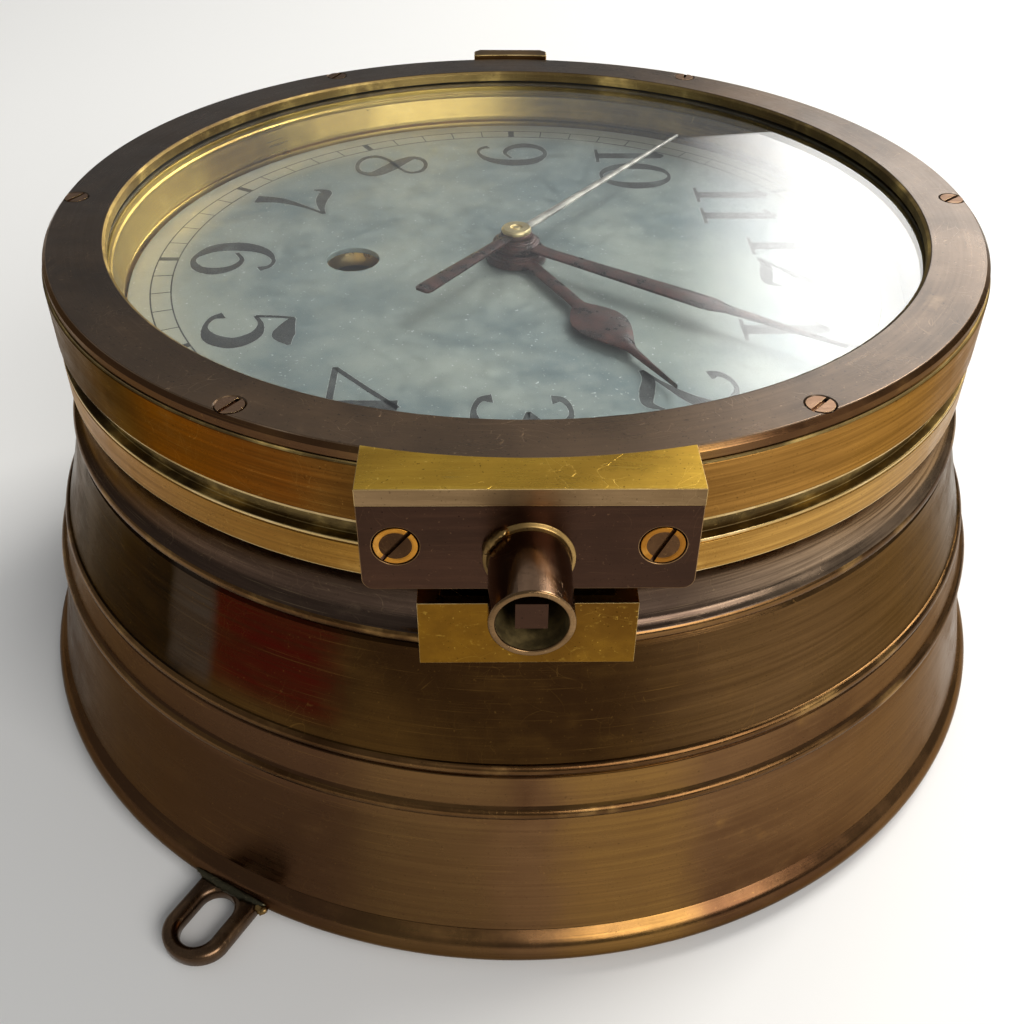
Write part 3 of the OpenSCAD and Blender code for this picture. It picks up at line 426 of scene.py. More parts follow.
# On the upper band, the patch at -48° is painted light on the lit right-front side; the red, black and tan
# patches are its own stains.
upper_paint = old_brass("upper case patina and painted light", (0.026, 0.011, 0.003), (0.074, 0.036, 0.008),
    (0.23, 0.12, 0.028), rough=0.2, wear=0.3, speckle=0.4, lines=0.45, seed=0.9, rim=(0.58, 0.52, 0.46),
    coat=0.03, stains_and_painted_light=((-48, 34, 12, (0.135, 0.072, 0.027)), (-117, 10, 5, (0.052, 0.002, 0.0006), 50),
    (-141, 15, 11, (0.003, 0.0025, 0.002)), (-127, 4, 2, (0.05, 0.036, 0.026), 48)))
# In the cove, the light patch at -42° is a painted highlight on the lit right-front side; the cove is also
# darker towards -140°.
cove_paint = old_brass("cove patina and painted light", (0.045, 0.028, 0.02), (0.125, 0.082, 0.058), (0.4, 0.28, 0.16),
    rough=0.24, wear=0.45, speckle=0.4, lines=0.8, seed=1.7, rim=(0.56, 0.46, 0.37), coat=0.03,
    stains_and_painted_light=((-42, 34, 10, (0.4, 0.28, 0.18)), (-140, 40, 20, (0.085, 0.052, 0.036))))
bead_paint = old_brass("bead patina", (0.06, 0.027, 0.01), (0.17, 0.088, 0.032), (0.46, 0.27, 0.09),
    rough=0.24, wear=0.7, speckle=0.4, lines=0.3, seed=0.4)
# On the flange, the light patch at -45° is painted light on the lit right-front side; the flange is also
# darker towards -128°.
flange_paint = old_brass("rubbed flange and painted light", (0.19, 0.088, 0.016), (0.43, 0.215, 0.038), (0.72, 0.43, 0.11),
    rough=0.26, wear=0.7, lines=0.65, speckle=0.6, seed=1.3, stains_and_painted_light=((-45, 36, 12, (0.55, 0.31, 0.075)),
    (-128, 20, 10, (0.36, 0.17, 0.03))))
# On the bezel's side, the light patch at -50° is painted light on the lit right-front and the dark patch at
# -160° is painted shade on the left; the red patch at -121° is its own stain.
bezel_paint = old_brass("bezel side", (0.07, 0.028, 0.006), (0.22, 0.098, 0.018), (0.46, 0.245, 0.055),
    rough=0.28, lines=0.55, seed=2.1, stains_and_painted_light=((-50, 36, 14, (0.38, 0.19, 0.045)),
    (-121, 14, 6, (0.2, 0.06, 0.006)), (-160, 34, 18, (0.02, 0.011, 0.004))), rim=(0.6, 0.52, 0.44))
ring_paint = old_brass("front ring", (0.042, 0.024, 0.011), (0.104, 0.062, 0.032), (0.28, 0.185, 0.105),
    rough=0.31, wear=0.34, lines=0.28, speckle=0.95, scratch=0.85, seed=3.7, coat=0.5)
ring_edge_paint = old_brass("ring edge", (0.15, 0.095, 0.055), (0.3, 0.2, 0.13), (0.55, 0.4, 0.27),
    lines=0.2, speckle=0.4, seed=3.1)
# On the inner wall, the broad dark patch at 30° is painted shade on the wall's back-right.
wall_paint = old_brass("inner wall", (0.44, 0.3, 0.085), (0.64, 0.45, 0.125), (0.8, 0.6, 0.22), rough=0.33,
    lines=0.15, speckle=0.05, seed=5.2, stains_and_painted_light=((145, 11, 3, (0.24, 0.15, 0.045)),
    (30, 68, 50, (0.06, 0.045, 0.022))))
# The groove paint is made light to make up for the shade the bezel casts in the groove: painted light, also
# where it colours the bezel's joints and the ring's inner edge.
painted_light_groove_paint = old_brass("groove", (0.1, 0.065, 0.026), (0.34, 0.24, 0.085), (0.85, 0.62, 0.22), rough=0.42,
    wear=0.7, lines=0.4, seed=6.1)
lock_paint = old_brass("lock brass", (0.32, 0.18, 0.024), (0.62, 0.385, 0.05), (0.88, 0.61, 0.14),
    rough=0.27, wear=0.6, turned=False, lines=0.42, scratch=1.0, speckle=0.8, seed=7.4)
edge_paint = old_brass("rubbed edge", (0.42, 0.28, 0.1), (0.7, 0.5, 0.22), (0.9, 0.72, 0.42), rough=0.25,
    wear=0.8, turned=False, lines=0.1, speckle=0.2, seed=7.9)
keeper_paint = old_brass("keeper brass", (0.11, 0.048, 0.008), (0.32, 0.165, 0.018), (0.6, 0.37, 0.06),
    wear=0.45, turned=False, grain=(120, 200, 160), lines=0.45, scratch=0.2, speckle=1.0, seed=7.1,
    rim=(0.62, 0.52, 0.4), stains_and_painted_light=((-99, 8, 3, (0.2, 0.095, 0.01)),))
cover_paint = old_brass("cover plate", (0.026, 0.013, 0.008), (0.06, 0.028, 0.016), (0.17, 0.09, 0.045),
    rough=0.33, wear=0.25, coat=0.06, turned=False, lines=0.25, speckle=0.7, seed=8.8)
cover_edge_paint = old_brass("cover edge", (0.14, 0.08, 0.036), (0.32, 0.19, 0.085), (0.6, 0.41, 0.21),
    turned=False, lines=0.1, seed=8.1)
tube_paint = old_brass("key tube", (0.14, 0.082, 0.048), (0.31, 0.195, 0.12), (0.6, 0.43, 0.27), rough=0.15,
    wear=0.35, turned=False, grain=(500, 40, 500), lines=0.2, seed=9.5, coat=0.1)
lug_paint = old_brass("lug", (0.05, 0.026, 0.012), (0.15, 0.082, 0.038), (0.5, 0.31, 0.15), rough=0.24,
    wear=0.6, turned=False, grain=(160, 160, 160), seed=10.2, coat=0.3)
# A darker copy of the lock brass for the housing's front faces: painted shade on the faces turned away from
# the light.
lip_front_painted_shade = old_brass("lip front", (0.14, 0.086, 0.04), (0.31, 0.2, 0.1), (0.55, 0.39, 0.2), rough=0.32,
    wear=0.4, turned=False, lines=0.25, seed=10.9)
dark_screw_paint = old_brass("screw faces", (0.04, 0.019, 0.009), (0.115, 0.058, 0.026), (0.46, 0.26, 0.1),
    rough=0.33, wear=0.42, turned=False, grain=(300, 300, 300), seed=11.3)
screw_edge_paint = old_brass("screw edges", (0.24, 0.09, 0.012), (0.56, 0.25, 0.035), (0.84, 0.48, 0.13),
    rough=0.36, wear=0.55, turned=False, grain=(300, 300, 300), speckle=0.4, seed=11.6)
screw_paint = old_brass("screws", (0.12, 0.066, 0.04), (0.27, 0.165, 0.105), (0.56, 0.38, 0.24), wear=0.55,
    turned=False, speckle=0.6, seed=11.9)
back_paint = old_brass("back plate", (0.09, 0.05, 0.02), (0.22, 0.13, 0.05), (0.45, 0.29, 0.12), rough=0.36,
    wear=0.4, seed=12.6)
hinge_paint = old_brass("hinge", (0.09, 0.05, 0.02), (0.24, 0.14, 0.05), (0.52, 0.34, 0.13), turned=False,
    seed=13.3)
solder_paint = old_brass("solder", (0.03, 0.03, 0.02), (0.1, 0.085, 0.05), (0.42, 0.32, 0.17), rough=0.38,
    wear=0.35, turned=False, speckle=0.6, seed=14.1)
tube_solder_paint = old_brass("tube solder", (0.16, 0.095, 0.034), (0.38, 0.24, 0.085), (0.72, 0.51, 0.21),
    wear=0.6, turned=False, grain=(200, 200, 200), seed=14.8)
dark_steel_paint = plain_metal("dark steel", (0.022, 0.017, 0.014), 0.42, 0.5)
movement_paint = plain_metal("movement brass", (0.82, 0.62, 0.29), 0.28, 0.07, 110)
steel_paint = plain_metal("steel", (0.52, 0.52, 0.53), 0.3)
blued_paint = plain_metal("blued steel", (0.06, 0.09, 0.24), 0.25)
cap_paint = plain_metal("cap brass", (0.72, 0.58, 0.31), 0.3, 0.15, 500)


def rubber():
    s = Shade("seal rubber")
    wear = s.noise(600, 3, 0.6)
    base = s.mix(wear, (0.012, 0.012, 0.012), (0.05, 0.048, 0.045))
    return s.finish(base, s.span(wear, 0.3, 0.7, 0.55, 0.8), s.bump(s.noise(3000, 3, 0.6), 0.02))


def silvered():
    """Matt silvered brass that has greyed, with specks, clouds and a warmer edge that is painted reflected
    light from the golden wall.
    """
    s = Shade("silvered dial", Metallic=0.55)
    s.ring = s.cylinder()
    cloud = s.noise(26, 5, 0.55, distortion=0.3)
    mottle = s.noise(240, 5, 0.7)
    specks = s.noise(2600, 2, 0.5)
    motes = s.noise(1500, 2, 0.5)
    base = s.mix(s.span(cloud, 0.34, 0.66), (0.110, 0.148, 0.158), (0.235, 0.262, 0.240))
    base = s.mix(s.span(mottle, 0.35, 0.75, 0.0, 0.35), base, (0.27, 0.295, 0.27))
    # warmer, lighter band near the edge: painted reflection of the golden inner wall's light
    base = s.mix(s.span(s.ring[2], 0.069, 0.079, 0.0, 0.6), base, (0.40, 0.38, 0.29))
    base = s.mix(s.span(specks, 0.68, 0.76, 0.0, 0.5), base, (0.07, 0.08, 0.075))
    base = s.mix(s.span(motes, 0.68, 0.76, 0.0, 0.6), base, (0.60, 0.63, 0.62))
    relief = s.bump(mottle, 0.02, 0.7, s.bump(s.noise(5200, 2, 0.6), 0.012))
    return s.finish(base, s.span(mottle, 0.3, 0.7, 0.38, 0.55), relief)


def engraving_wax():
    s = Shade("engraving wax")
    worn = s.noise(2400, 4, 0.7)
    faded = s.noise(150, 4, 0.6)
    base = s.mix(s.span(faded, 0.46, 0.72, 0.0, 0.6), (0.004, 0.005, 0.006), (0.060, 0.070, 0.070))
    base = s.mix(s.span(worn, 0.55, 0.72), base, (0.10, 0.11, 0.11))
    return s.finish(base, s.span(worn, 0.3, 0.7, 0.35, 0.65), s.bump(worn, 0.03))


def lacquer(name, dark, light, rough):
    """The hands' worn lacquer."""
    s = Shade(name, Metallic=0.35)
    cloud = s.noise(260, 5, 0.65)
    base = s.mix(s.span(cloud, 0.35, 0.7), dark, light)
    roughness = s.span(cloud, 0.3, 0.7, rough - 0.06, rough + 0.12)
    return s.finish(base, roughness, s.bump(s.noise(1900, 3, 0.6), 0.015))


def clear_glass():
    """Flat clock glass with a little dust; it lets lamps through."""
    s = Shade("clock glass", Transmission_Weight=1.0, IOR=1.5)
    s.put(s.shader.inputs["Base Color"], (0.975, 0.99, 0.985, 1.0))
    dust = s.span(s.noise(1300, 3, 0.6), 0.66, 0.75, 0.0, 1.0)
    s.put(s.shader.inputs["Roughness"], s.math("MULTIPLY", dust, 0.12))
    clear = s.add("BsdfTransparent", Color=(0.96, 0.98, 0.975, 1.0))
    lamp = s.add("LightPath").outputs["Is Shadow Ray"]
    both = s.add("MixShader")
    s.put(both.inputs[0], lamp)
    s.put(both.inputs[1], s.shader.outputs[0])
    s.put(both.inputs[2], clear.outputs[0])
    s.put(s.nodes["Material Output"].inputs["Surface"], both.outputs[0])
    return s.material


rubber_paint = rubber()
dial_paint = silvered()
wax_paint = engraving_wax()
cut_paint = plain_metal("engraved edge", (0.42, 0.45, 0.44), 0.35, 0.5, 1500)
hand_paint = lacquer("hand lacquer", (0.016, 0.009, 0.008), (0.062, 0.021, 0.016), 0.3)
bore_paint = lacquer("oxidised bore", (0.06, 0.042, 0.016), (0.2, 0.14, 0.05), 0.5)
pale_paint = lacquer("worn needle", (0.17, 0.16, 0.145), (0.36, 0.345, 0.31), 0.4)
glass_paint = clear_glass()


# ---------- case ----------

LOW_BEAD, HIGH_BEAD, NECK_BEAD = 36.2, 44.8, 68.9


def bead(r, z, radius=1.3):
    return arc(r - radius * 0.35, z, radius, -68, 68, 12)


def case_outline():
    """The spun case's outside, from the rear edge up to the flange."""
    roll = 4.2
    flare = [(97.7 + 5.9 * (1 - i / 14) ** 1.2, 46.1 + 20.8 * i / 14) for i in range(15)]
    return (
        [(base_r - 6.6, 0.0)]
        + arc(base_r - roll, roll, roll, -90, 60, 22)
        + [(base_r - 2.9, 8.6), (base_r - 2.65, 9.2)]
        + [(base_r - 2.7 - 5.4 * t - 0.2 * math.sin(math.pi * t), 9.4 + 25.2 * t)
           for t in (i / 10 for i in range(1, 11))]
        + bead(106.6, LOW_BEAD)
        + [(106.1, 37.7), (105.3, 40.6), (104.5, 43.3)]
        + bead(103.9, HIGH_BEAD)
        + flare
        + bead(96.9, NECK_BEAD, 1.5)
        + arc(flange_r + 7.5, 75.3, 9, 209, 153, 14)
        + [(flange_r - 0.02, flange_z)]
    )


def near_bead(r, z):
    """A face's material: 1 on the beads, 2 on the flared band between them, 3 in the cove."""
    if r < flange_r - 3.9 and z > 60:
        return 0
    if any(abs(z - middle) < 1.15 for middle in (LOW_BEAD, HIGH_BEAD, NECK_BEAD)):
        return 1
    return 3 if z > 70 else 2 if z > 45 else 0


wall_in = [
    (flange_r - 4.0, flange_z), (flange_r - 4.0, 71.9), (94.9, 65.9), (100.8, 45.8), (103.8, 35.2),
    (109.5, 10.4), (102.5, 6.4), (102.5, 3.0), (108.4, 3.0),
]
case = lathe("turned_case", case_outline() + wall_in, [case_paint, bead_paint, upper_paint, cove_paint],
             near_bead, steps=320)
placed(case, "case", "case_shell")


def rim_outline():
    neck = flange_r - 1.8
    spigot = flange_r - 4.1
    return filleted([
        (flange_r, flange_z, 0.25), (flange_r, flange_top - 0.9, 0.1),
        (flange_r - 0.25, flange_top - 0.75, 0.05), (flange_r - 0.05, flange_top - 0.55, 0.1),
        (flange_r - 0.05, flange_top, 0.3), (neck, flange_top, 0.2), (neck, rim_top, 0.3),
        (rim_bore_r + 0.6, rim_top, 0.0), (rim_bore_r, rim_top - 0.5, 0.1), (rim_bore_r, carrier_z, 0.0),
        (rim_bore_r - 5.2, carrier_z, 0.2), (rim_bore_r - 5.2, carrier_z - 4, 0.3),
        (spigot - 3.4, flange_z - 1, 0.2), (spigot - 3.4, flange_z - 4.5, 0.2),
        (spigot, flange_z - 4.5, 0.2), (spigot, flange_z, 0.0),
    ])


def on_rim(r, z):
    if r < rim_bore_r + 1.0:
        return 1
    if z > flange_top - 0.05:
        return 2
    return 3 if r > flange_r - 0.3 and (z < flange_z + 0.3 or z > flange_top - 0.5) else 0


rim = lathe("turned_rim", rim_outline(), [flange_paint, wall_paint, painted_light_groove_paint, edge_paint], on_rim)
placed(rim, "case", "front_rim")


# ---------- bezel ----------

def bezel_outline():
    channel = opening_r + 3
    return filleted([
        (opening_r - 1.4, bezel_z, 0.3), (channel, bezel_z, 0.2), (channel, bezel_z + 2.4, 0.1),
        (channel + 4.5, bezel_z + 2.4, 0.1), (channel + 4.5, bezel_z, 0.2),
        (bezel_r - 0.35, bezel_z, 0.35), (bezel_r - 0.35, bezel_z + 0.7, 0.1),
        (bezel_r, bezel_z + 0.9, 0.15), (bezel_r, ring_z - 0.55, 0.2),
        (bezel_r - 0.3, ring_z - 0.3, 0.05), (bezel_r - 0.3, ring_z, 0.0),
        (glass_r + 0.3, ring_z, 0.1), (glass_r + 0.3, seat_z, 0.0), (opening_r, seat_z, 0.2),
        (opening_r, seat_z - 1.4, 0.1), (opening_r - 0.4, seat_z - 1.7, 0.1),
        (opening_r - 0.4, seat_z - 2.3, 0.1), (opening_r, seat_z - 2.6, 0.1),
        (opening_r - 1.4, bezel_z + 0.9, 0.3),
    ])


def on_bezel(r, z):
    if r < opening_r + 4.5:
        return 1
    if z > ring_z - 0.42 or z < bezel_z + 0.1:
        return 2
    return 3 if z < bezel_z + 1.0 and r > bezel_r - 0.4 else 0


bezel = lathe("turned_bezel", bezel_outline(), [bezel_paint, wall_paint, painted_light_groove_paint, edge_paint], on_bezel)
placed(bezel, "bezel", "bezel_frame")


def on_ring(r, z):
    if r < opening_r + 0.35:
        return 2
    if top - 0.25 < z < top - 0.02 and r > ring_r - 1.0:
        return 3
    return 1 if z < top - 0.2 and r > ring_r - 0.9 else 0


def screw_seat(angle):
    circle, hole, wide = 92.9, 2.42, 2.8
    outline = [(0.0, -1.0), (hole, -1.0), (hole, -0.35), (wide, 0.05), (wide, 0.4), (0.0, 0.4)]
    return lathe("seat", outline, [ring_paint], steps=40, centre=(*polar(circle, angle), top))


ring = lathe("turned_front_ring", filleted([
    (opening_r, ring_z, 0.1), (ring_r, ring_z, 0.15), (ring_r, top - 0.85, 0.25),
    (ring_r - 0.85, top, 0.35), (opening_r + 0.7, top, 0.35), (opening_r, top - 0.5, 0.2),
]), [ring_paint, case_paint, painted_light_groove_paint, ring_edge_paint], on_ring)
drilled(ring, [screw_seat(60 * i) for i in range(6)])
placed(ring, "bezel", "front_ring")

glass = lathe("flat_glass", filleted([
    (0.0, glass_z, 0), (glass_r, glass_z, 0.25), (glass_r, glass_top, 0.25), (0.0, glass_top, 0),
]), [glass_paint], steps=128)
placed(glass, "bezel", "bezel_glass")


# ---------- lock ----------

# The housing's flat faces turned to the front take the darker lip paint, which paints shade on them.
finished("lock_housing", lock_paint, 0.3, "bezel", edge=edge_paint,
         other=lip_front_painted_shade, where=lambda c, n: n.y < -0.9 and c.z > seat_z)
finished("lock_cover_plate", cover_paint, 0.25, "bezel", edge=cover_edge_paint)
finished("ring_screws", screw_paint, 0.12, "bezel", edge=edge_paint)
finished("lock_keeper", keeper_paint, 0.3, "case", edge=edge_paint)
finished("bezel_hinge_leaf", hinge_paint, 0.3, "bezel", edge=edge_paint)
finished("case_hinge_leaf", hinge_paint, 0.3, "case", edge=edge_paint)
finished("back_plate", back_paint, 0.3, "case")
finished("back_plate_screws", screw_paint, 0.1, "case")


def slot_cutter(x, y, z, angle, length, width, depth):
    """The shape of a screwdriver slot in a face that looks along -Y, at an angle from level."""
    dx, dz = polar(1, angle)
    along, across = Vector((dx, 0, dz)), Vector((-dz, 0, dx))
    corners = [
        Vector((x, y + c, z)) + along * (a * length / 2) + across * (b * width / 2)
        for a in (-1, 1) for b in (-1, 1) for c in (-1, depth)
    ]
    sides = [(0, 1, 3, 2), (4, 6, 7, 5), (0, 4, 5, 1), (2, 3, 7, 6), (0, 2, 6, 4), (1, 5, 7, 3)]
    return finish_mesh("slot", mesh_of("slot", corners, sides), [dark_screw_paint])


def cover_screw(side, angle):
    """A countersunk head whose dark, slightly dished face has a rubbed rim."""
    head_r = (high("lock_cover_screws").z - low("lock_cover_screws").z) / 2
    x = side * (high("lock_cover_screws").x - head_r)
    z = low("lock_cover_screws").z + head_r
    face = low("lock_cover_screws").y
    rim_r, sink, shank_r = 0.78 * head_r, 1.9, 1.4
    head = lathe("screw_head", filleted([
        (0, -0.09, 0), (rim_r - 0.15, -0.09, 0.1), (rim_r + 0.1, 0, 0.1), (head_r, 0, 0.14),
        (head_r, -0.25, 0), (shank_r, -0.25 - sink, 0), (0, -0.25 - sink, 0),
    ]), [dark_screw_paint, screw_edge_paint], lambda r, h: 1 if r > rim_r - 0.12 and h > -0.3 else 0,
        steps=64, axis="Y", centre=(x, face, z))
    drilled(head, [slot_cutter(x, face, z, angle, 2 * head_r + 1, 0.7, 0.75)])
    return head


cover_screws = joined("turned_cover_screws", [cover_screw(-1, 50), cover_screw(1, 64)])
placed(cover_screws, "bezel", "lock_cover_screws")

tube_length = tube_root - tube_end
tube_bore = tube_r - 1.0


def on_tube(r, h):
    if h > tube_length - 0.3:
        return 2
    return 1 if r < tube_bore + 0.1 else 0


tube = lathe("key_tube_finished", filleted([
    (tube_r, 0.0, 0.0), (tube_r, tube_length, 0.45), (tube_bore, tube_length, 0.35), (tube_bore, 0.0, 0.0),
], steps=6), [tube_paint, bore_paint, cover_edge_paint], on_tube, steps=96, axis="Y",
    centre=(0, tube_root, lock_z))
placed(tube, "bezel", "key_tube")


def lumps(name, path, size, squash, seed, material):
    """A run of solder: a lumpy bead along a path of points."""
    count, around = len(path), 14
    verts, faces = [], []
    for i, (x, y, z) in enumerate(path):
        a, b = Vector(path[max(i - 1, 0)]), Vector(path[min(i + 1, count - 1)])
        along = (b - a).normalized()
        side = along.cross(Vector((0, 0, 1))).normalized()
        lift = side.cross(along)
        taper = math.sqrt(max(0.0, 1 - (2 * i / (count - 1) - 1) ** 2)) + 0.02
        for k in range(around):
            t = 2 * math.pi * k / around
            swell = 1 + 0.25 * math.sin(seed + 1.9 * i + 1.3 * k) * math.sin(0.7 * seed + 0.8 * i - k)
            r = size * taper * swell
            p = Vector((x, y, z)) + side * (r * math.cos(t)) + lift * (r * squash * math.sin(t))
            verts.append(tuple(p))
    for i in range(count - 1):
        for k in range(around):
            n = (k + 1) % around
            faces.append((i * around + k, i * around + n, (i + 1) * around + n, (i + 1) * around + k))
    faces.append(tuple(range(around)))
    faces.append(tuple((count - 1) * around + k for k in reversed(range(around))))
    return finish_mesh(name, mesh_of(name, verts, faces), [material], sharp=80)


fillet = lathe("key_tube_solder", filleted([
    (tube_r - 0.4, -0.4, 0), (tube_r + 0.9, -0.4, 0.0), (tube_r + 0.75, 0.1, 0.2), (tube_r + 0.2, 0.4, 0.4),
    (tube_r - 0.1, 1.2, 0.2), (tube_r - 0.4, 1.2, 0),
], steps=5), [tube_solder_paint], steps=72, axis="Y", centre=(0, tube_root, lock_z))
blob = lumps("key_tube_blob", [
    (x, tube_root - 0.25, z) for x, z in arc(0, lock_z, tube_r + 0.6, 118, 170, 13)
], 1.35, 0.55, 2.0, tube_solder_paint)
for piece in (fillet, blob):
    placed(piece, "bezel")


# ---------- lugs ----------

LUG_HOURS = (4, 10)
LUG_TIP, LUG_HALF, LUG_Z, LUG_T = 131.0, 7.1, 0.4, 3.6
SLOT_OUT, SLOT_IN, SLOT_R = 124.7, 119.4, 3.5


def at_hour(hour):
    """Turns a thing that points to twelve round to an hour."""
    return Matrix.Rotation(math.radians(-30 * hour), 4, "Z")


def lug(hour):
    """A strap lug round its slot, its edges rounded over, pointing to an hour."""
    root, over, around, square = SLOT_IN - base_r + 6, 1.3, 96, 1.42
    section = []
    for outside in (1, 0):
        for k in range(-6, 7):
            turn = math.radians(15 * (k if outside else -k))
            level = LUG_Z + over if turn < 0 else LUG_Z + LUG_T - over
            section.append((outside, over * (1 - math.cos(turn)), level + over * math.sin(turn)))
    verts, faces = [], []
    for i in range(around):
        a = 2 * math.pi * (i + 0.5) / around
        c, v = math.cos(a), math.sin(a)
        for outside, inset, z in section:
            if not outside:
                x, y = (SLOT_OUT if c > 0 else SLOT_IN) + (SLOT_R + inset) * c, (SLOT_R + inset) * v
            elif c > 0:
                x, y = SLOT_OUT + (LUG_TIP - SLOT_OUT - inset) * c, (LUG_HALF - inset) * v
            else:
                x = SLOT_IN - (root - inset) * min(1, -square * c)
                y = (LUG_HALF - inset) * max(-1, min(1, square * v))
            verts.append((x, y, z))
    n = len(section)
    for i in range(around):
        j = (i + 1) % around
        faces += [(i * n + k, i * n + (k + 1) % n, j * n + (k + 1) % n, j * n + k) for k in range(n)]
    mesh = mesh_of("lug", verts, faces)
    mesh.transform(at_hour(hour))
    return finish_mesh("lug", mesh, [lug_paint], sharp=50)


lugs = joined("rounded_lugs", [lug(hour) for hour in LUG_HOURS])
placed(lugs, "case", "mounting_lugs")

for hour in LUG_HOURS:
    run = lumps(f"lug_solder_{hour}", [
        (*polar(base_r, -30 * hour - 0.4 * v), 4.35) for v in range(-11, 12)
    ], 1.15, 0.75, hour, solder_paint)
    drop = lumps(f"lug_solder_drop_{hour}", [
        (0.0, 0.35 * k, 0.25 * math.sin(k)) for k in range(9)
    ], 1.1, 0.8, hour + 2.0, tube_solder_paint)
    corner = Vector((base_r + 0.2, LUG_HALF - 0.6, LUG_Z + LUG_T - 0.5)) * MM
    drop.data.transform(at_hour(hour) @ Matrix.Translation(corner))
    for piece in (run, drop):
        placed(piece, "case")


# ---------- dial ----------

finished("dial", dial_paint, 0.12, "case")


def catmull(points, closed, steps=9):
    """A smooth line through points of any number of coordinates."""
    def beyond(end, inner):
        return tuple(2 * a - b for a, b in zip(end, inner))

    if closed:
        held = [points[-1], *points, *points[:2]]
    else:
        held = [beyond(points[0], points[1]), *points, beyond(points[-1], points[-2])]
    made = [
        tuple(0.5 * (2 * b + (c - a) * t + (2 * a - 5 * b + 4 * c - d) * t * t
                     + (3 * b - a - 3 * c + d) * t ** 3) for a, b, c, d in zip(*held[i:i + 4]))
        for i in range(len(held) - 3) for t in (k / steps for k in range(steps))
    ]
    return made if closed else made + [points[-1]]


# a numeral's strokes: points of (right, up, width) in a box 1 high; those of 0 and 8 close
SIX = [(.63, .84, .09), (.57, .955, .05), (.43, .985, .035), (.24, .85, .10), (.13, .56, .17),
       (.17, .22, .15), (.39, .02, .05), (.60, .10, .09), (.68, .31, .13), (.60, .52, .09), (.43, .60, .045),
       (.27, .51, .035)]
STROKES = {
    "0": [[(.41 + .29 * math.cos(a), .5 + .475 * math.sin(a), .035 + .125 * abs(math.cos(a)) ** 1.5)
           for a in (k * math.pi / 6 for k in range(12))]],
    "1": [[(.30, .02, .15), (.30, .35, .15), (.30, .70, .15), (.30, .93, .13), (.31, .99, .02)],
          [(.31, .97, .03), (.22, .88, .07), (.13, .84, .03)],
          [(.10, .015, .03), (.30, .02, .045), (.50, .015, .03)]],
    "2": [[(.17, .74, .13), (.15, .84, .08), (.24, .95, .05), (.40, .985, .045), (.60, .88, .11),
           (.65, .70, .155), (.53, .48, .11), (.30, .24, .045), (.09, .05, .03)],
          [(.09, .04, .03), (.24, .10, .10), (.44, .06, .12), (.62, .05, .09), (.71, .20, .025)]],
    "3": [[(.17, .80, .12), (.17, .90, .07), (.27, .97, .045), (.42, .98, .045), (.58, .87, .12),
           (.57, .70, .11), (.36, .56, .03)],
          [(.36, .56, .03), (.58, .49, .09), (.68, .28, .16), (.54, .07, .10), (.34, .015, .045),
           (.17, .08, .06), (.15, .20, .12)]],
    "4": [[(.64, .02, .14), (.64, .50, .14), (.64, .97, .14)],
          [(.68, .98, .045), (.38, .64, .045), (.05, .29, .045)],
          [(.03, .28, .05), (.44, .28, .055), (.84, .28, .05)]],
    "5": [[(.20, .97, .035), (.175, .76, .035), (.165, .53, .03)],
          [(.20, .955, .05), (.34, .915, .13), (.52, .90, .19), (.69, .985, .03)],
          [(.165, .53, .03), (.32, .615, .05), (.52, .585, .12), (.66, .38, .17), (.58, .13, .14),
           (.39, .015, .05), (.21, .055, .055), (.15, .17, .11)]],
    "6": [SIX],
    "7": [[(.09, .76, .02), (.11, .87, .07), (.17, .93, .13), (.36, .905, .12), (.56, .925, .07),
           (.74, .985, .025)],
          [(.73, .975, .03), (.55, .70, .05), (.39, .36, .12), (.35, .03, .17)]],
    "8": [[(.41, .985, .045), (.24, .935, .055), (.17, .79, .09), (.29, .63, .15), (.50, .46, .17),
           (.67, .27, .13), (.61, .08, .06), (.41, .015, .045), (.21, .08, .06), (.13, .25, .07),
           (.25, .45, .05), (.47, .60, .04), (.62, .76, .05), (.58, .92, .055)]],
    "9": [[(.82 - x, 1 - y, w) for x, y, w in SIX]],
}


def ribbon(points, closed, extra, z0, z1):
    """Verts and faces of a flat band, (x, y, width) along a line, between two heights."""
    n = len(points)
    verts, faces = [], []
    for i, (x, y, w) in enumerate(points):
        a = points[(i - 1) % n] if closed or i else points[i]
        b = points[(i + 1) % n] if closed or i < n - 1 else points[i]
        d = Vector((b[0] - a[0], b[1] - a[1])).normalized()
        side = Vector((-d.y, d.x)) * (w / 2 + extra)
        end = Vector((0, 0))
        if not closed and i in (0, n - 1):
            end = d * (extra if i else -extra)
        for sign in (1, -1):
            for z in (z0, z1):
                verts.append((x + end.x + sign * side.x, y + end.y + sign * side.y, z))
    for i in range(n if closed else n - 1):
        a, b = 4 * i, 4 * ((i + 1) % n)
        faces += [(a, a + 1, b + 1, b), (a + 1, a + 3, b + 3, b + 1), (a + 3, a + 2, b + 2, b + 3),
                  (a + 2, a, b, b + 2)]
    if not closed:
        e = 4 * (n - 1)
        faces += [(0, 2, 3, 1), (e, e + 1, e + 3, e + 2)]
    return verts, faces


def inlaid(name, lines, extra, z1, material):
    """Bands along lines as one piece standing in the dial."""
    verts, faces = [], []
    for points, closed in lines:
        v, f = ribbon(points, closed, extra, dial_top - 0.02, z1)
        faces += [tuple(i + len(verts) for i in face) for face in f]
        verts += v
    piece = finish_mesh(name, mesh_of(name, verts, faces), [material], sharp=30)
    placed(piece, "case")


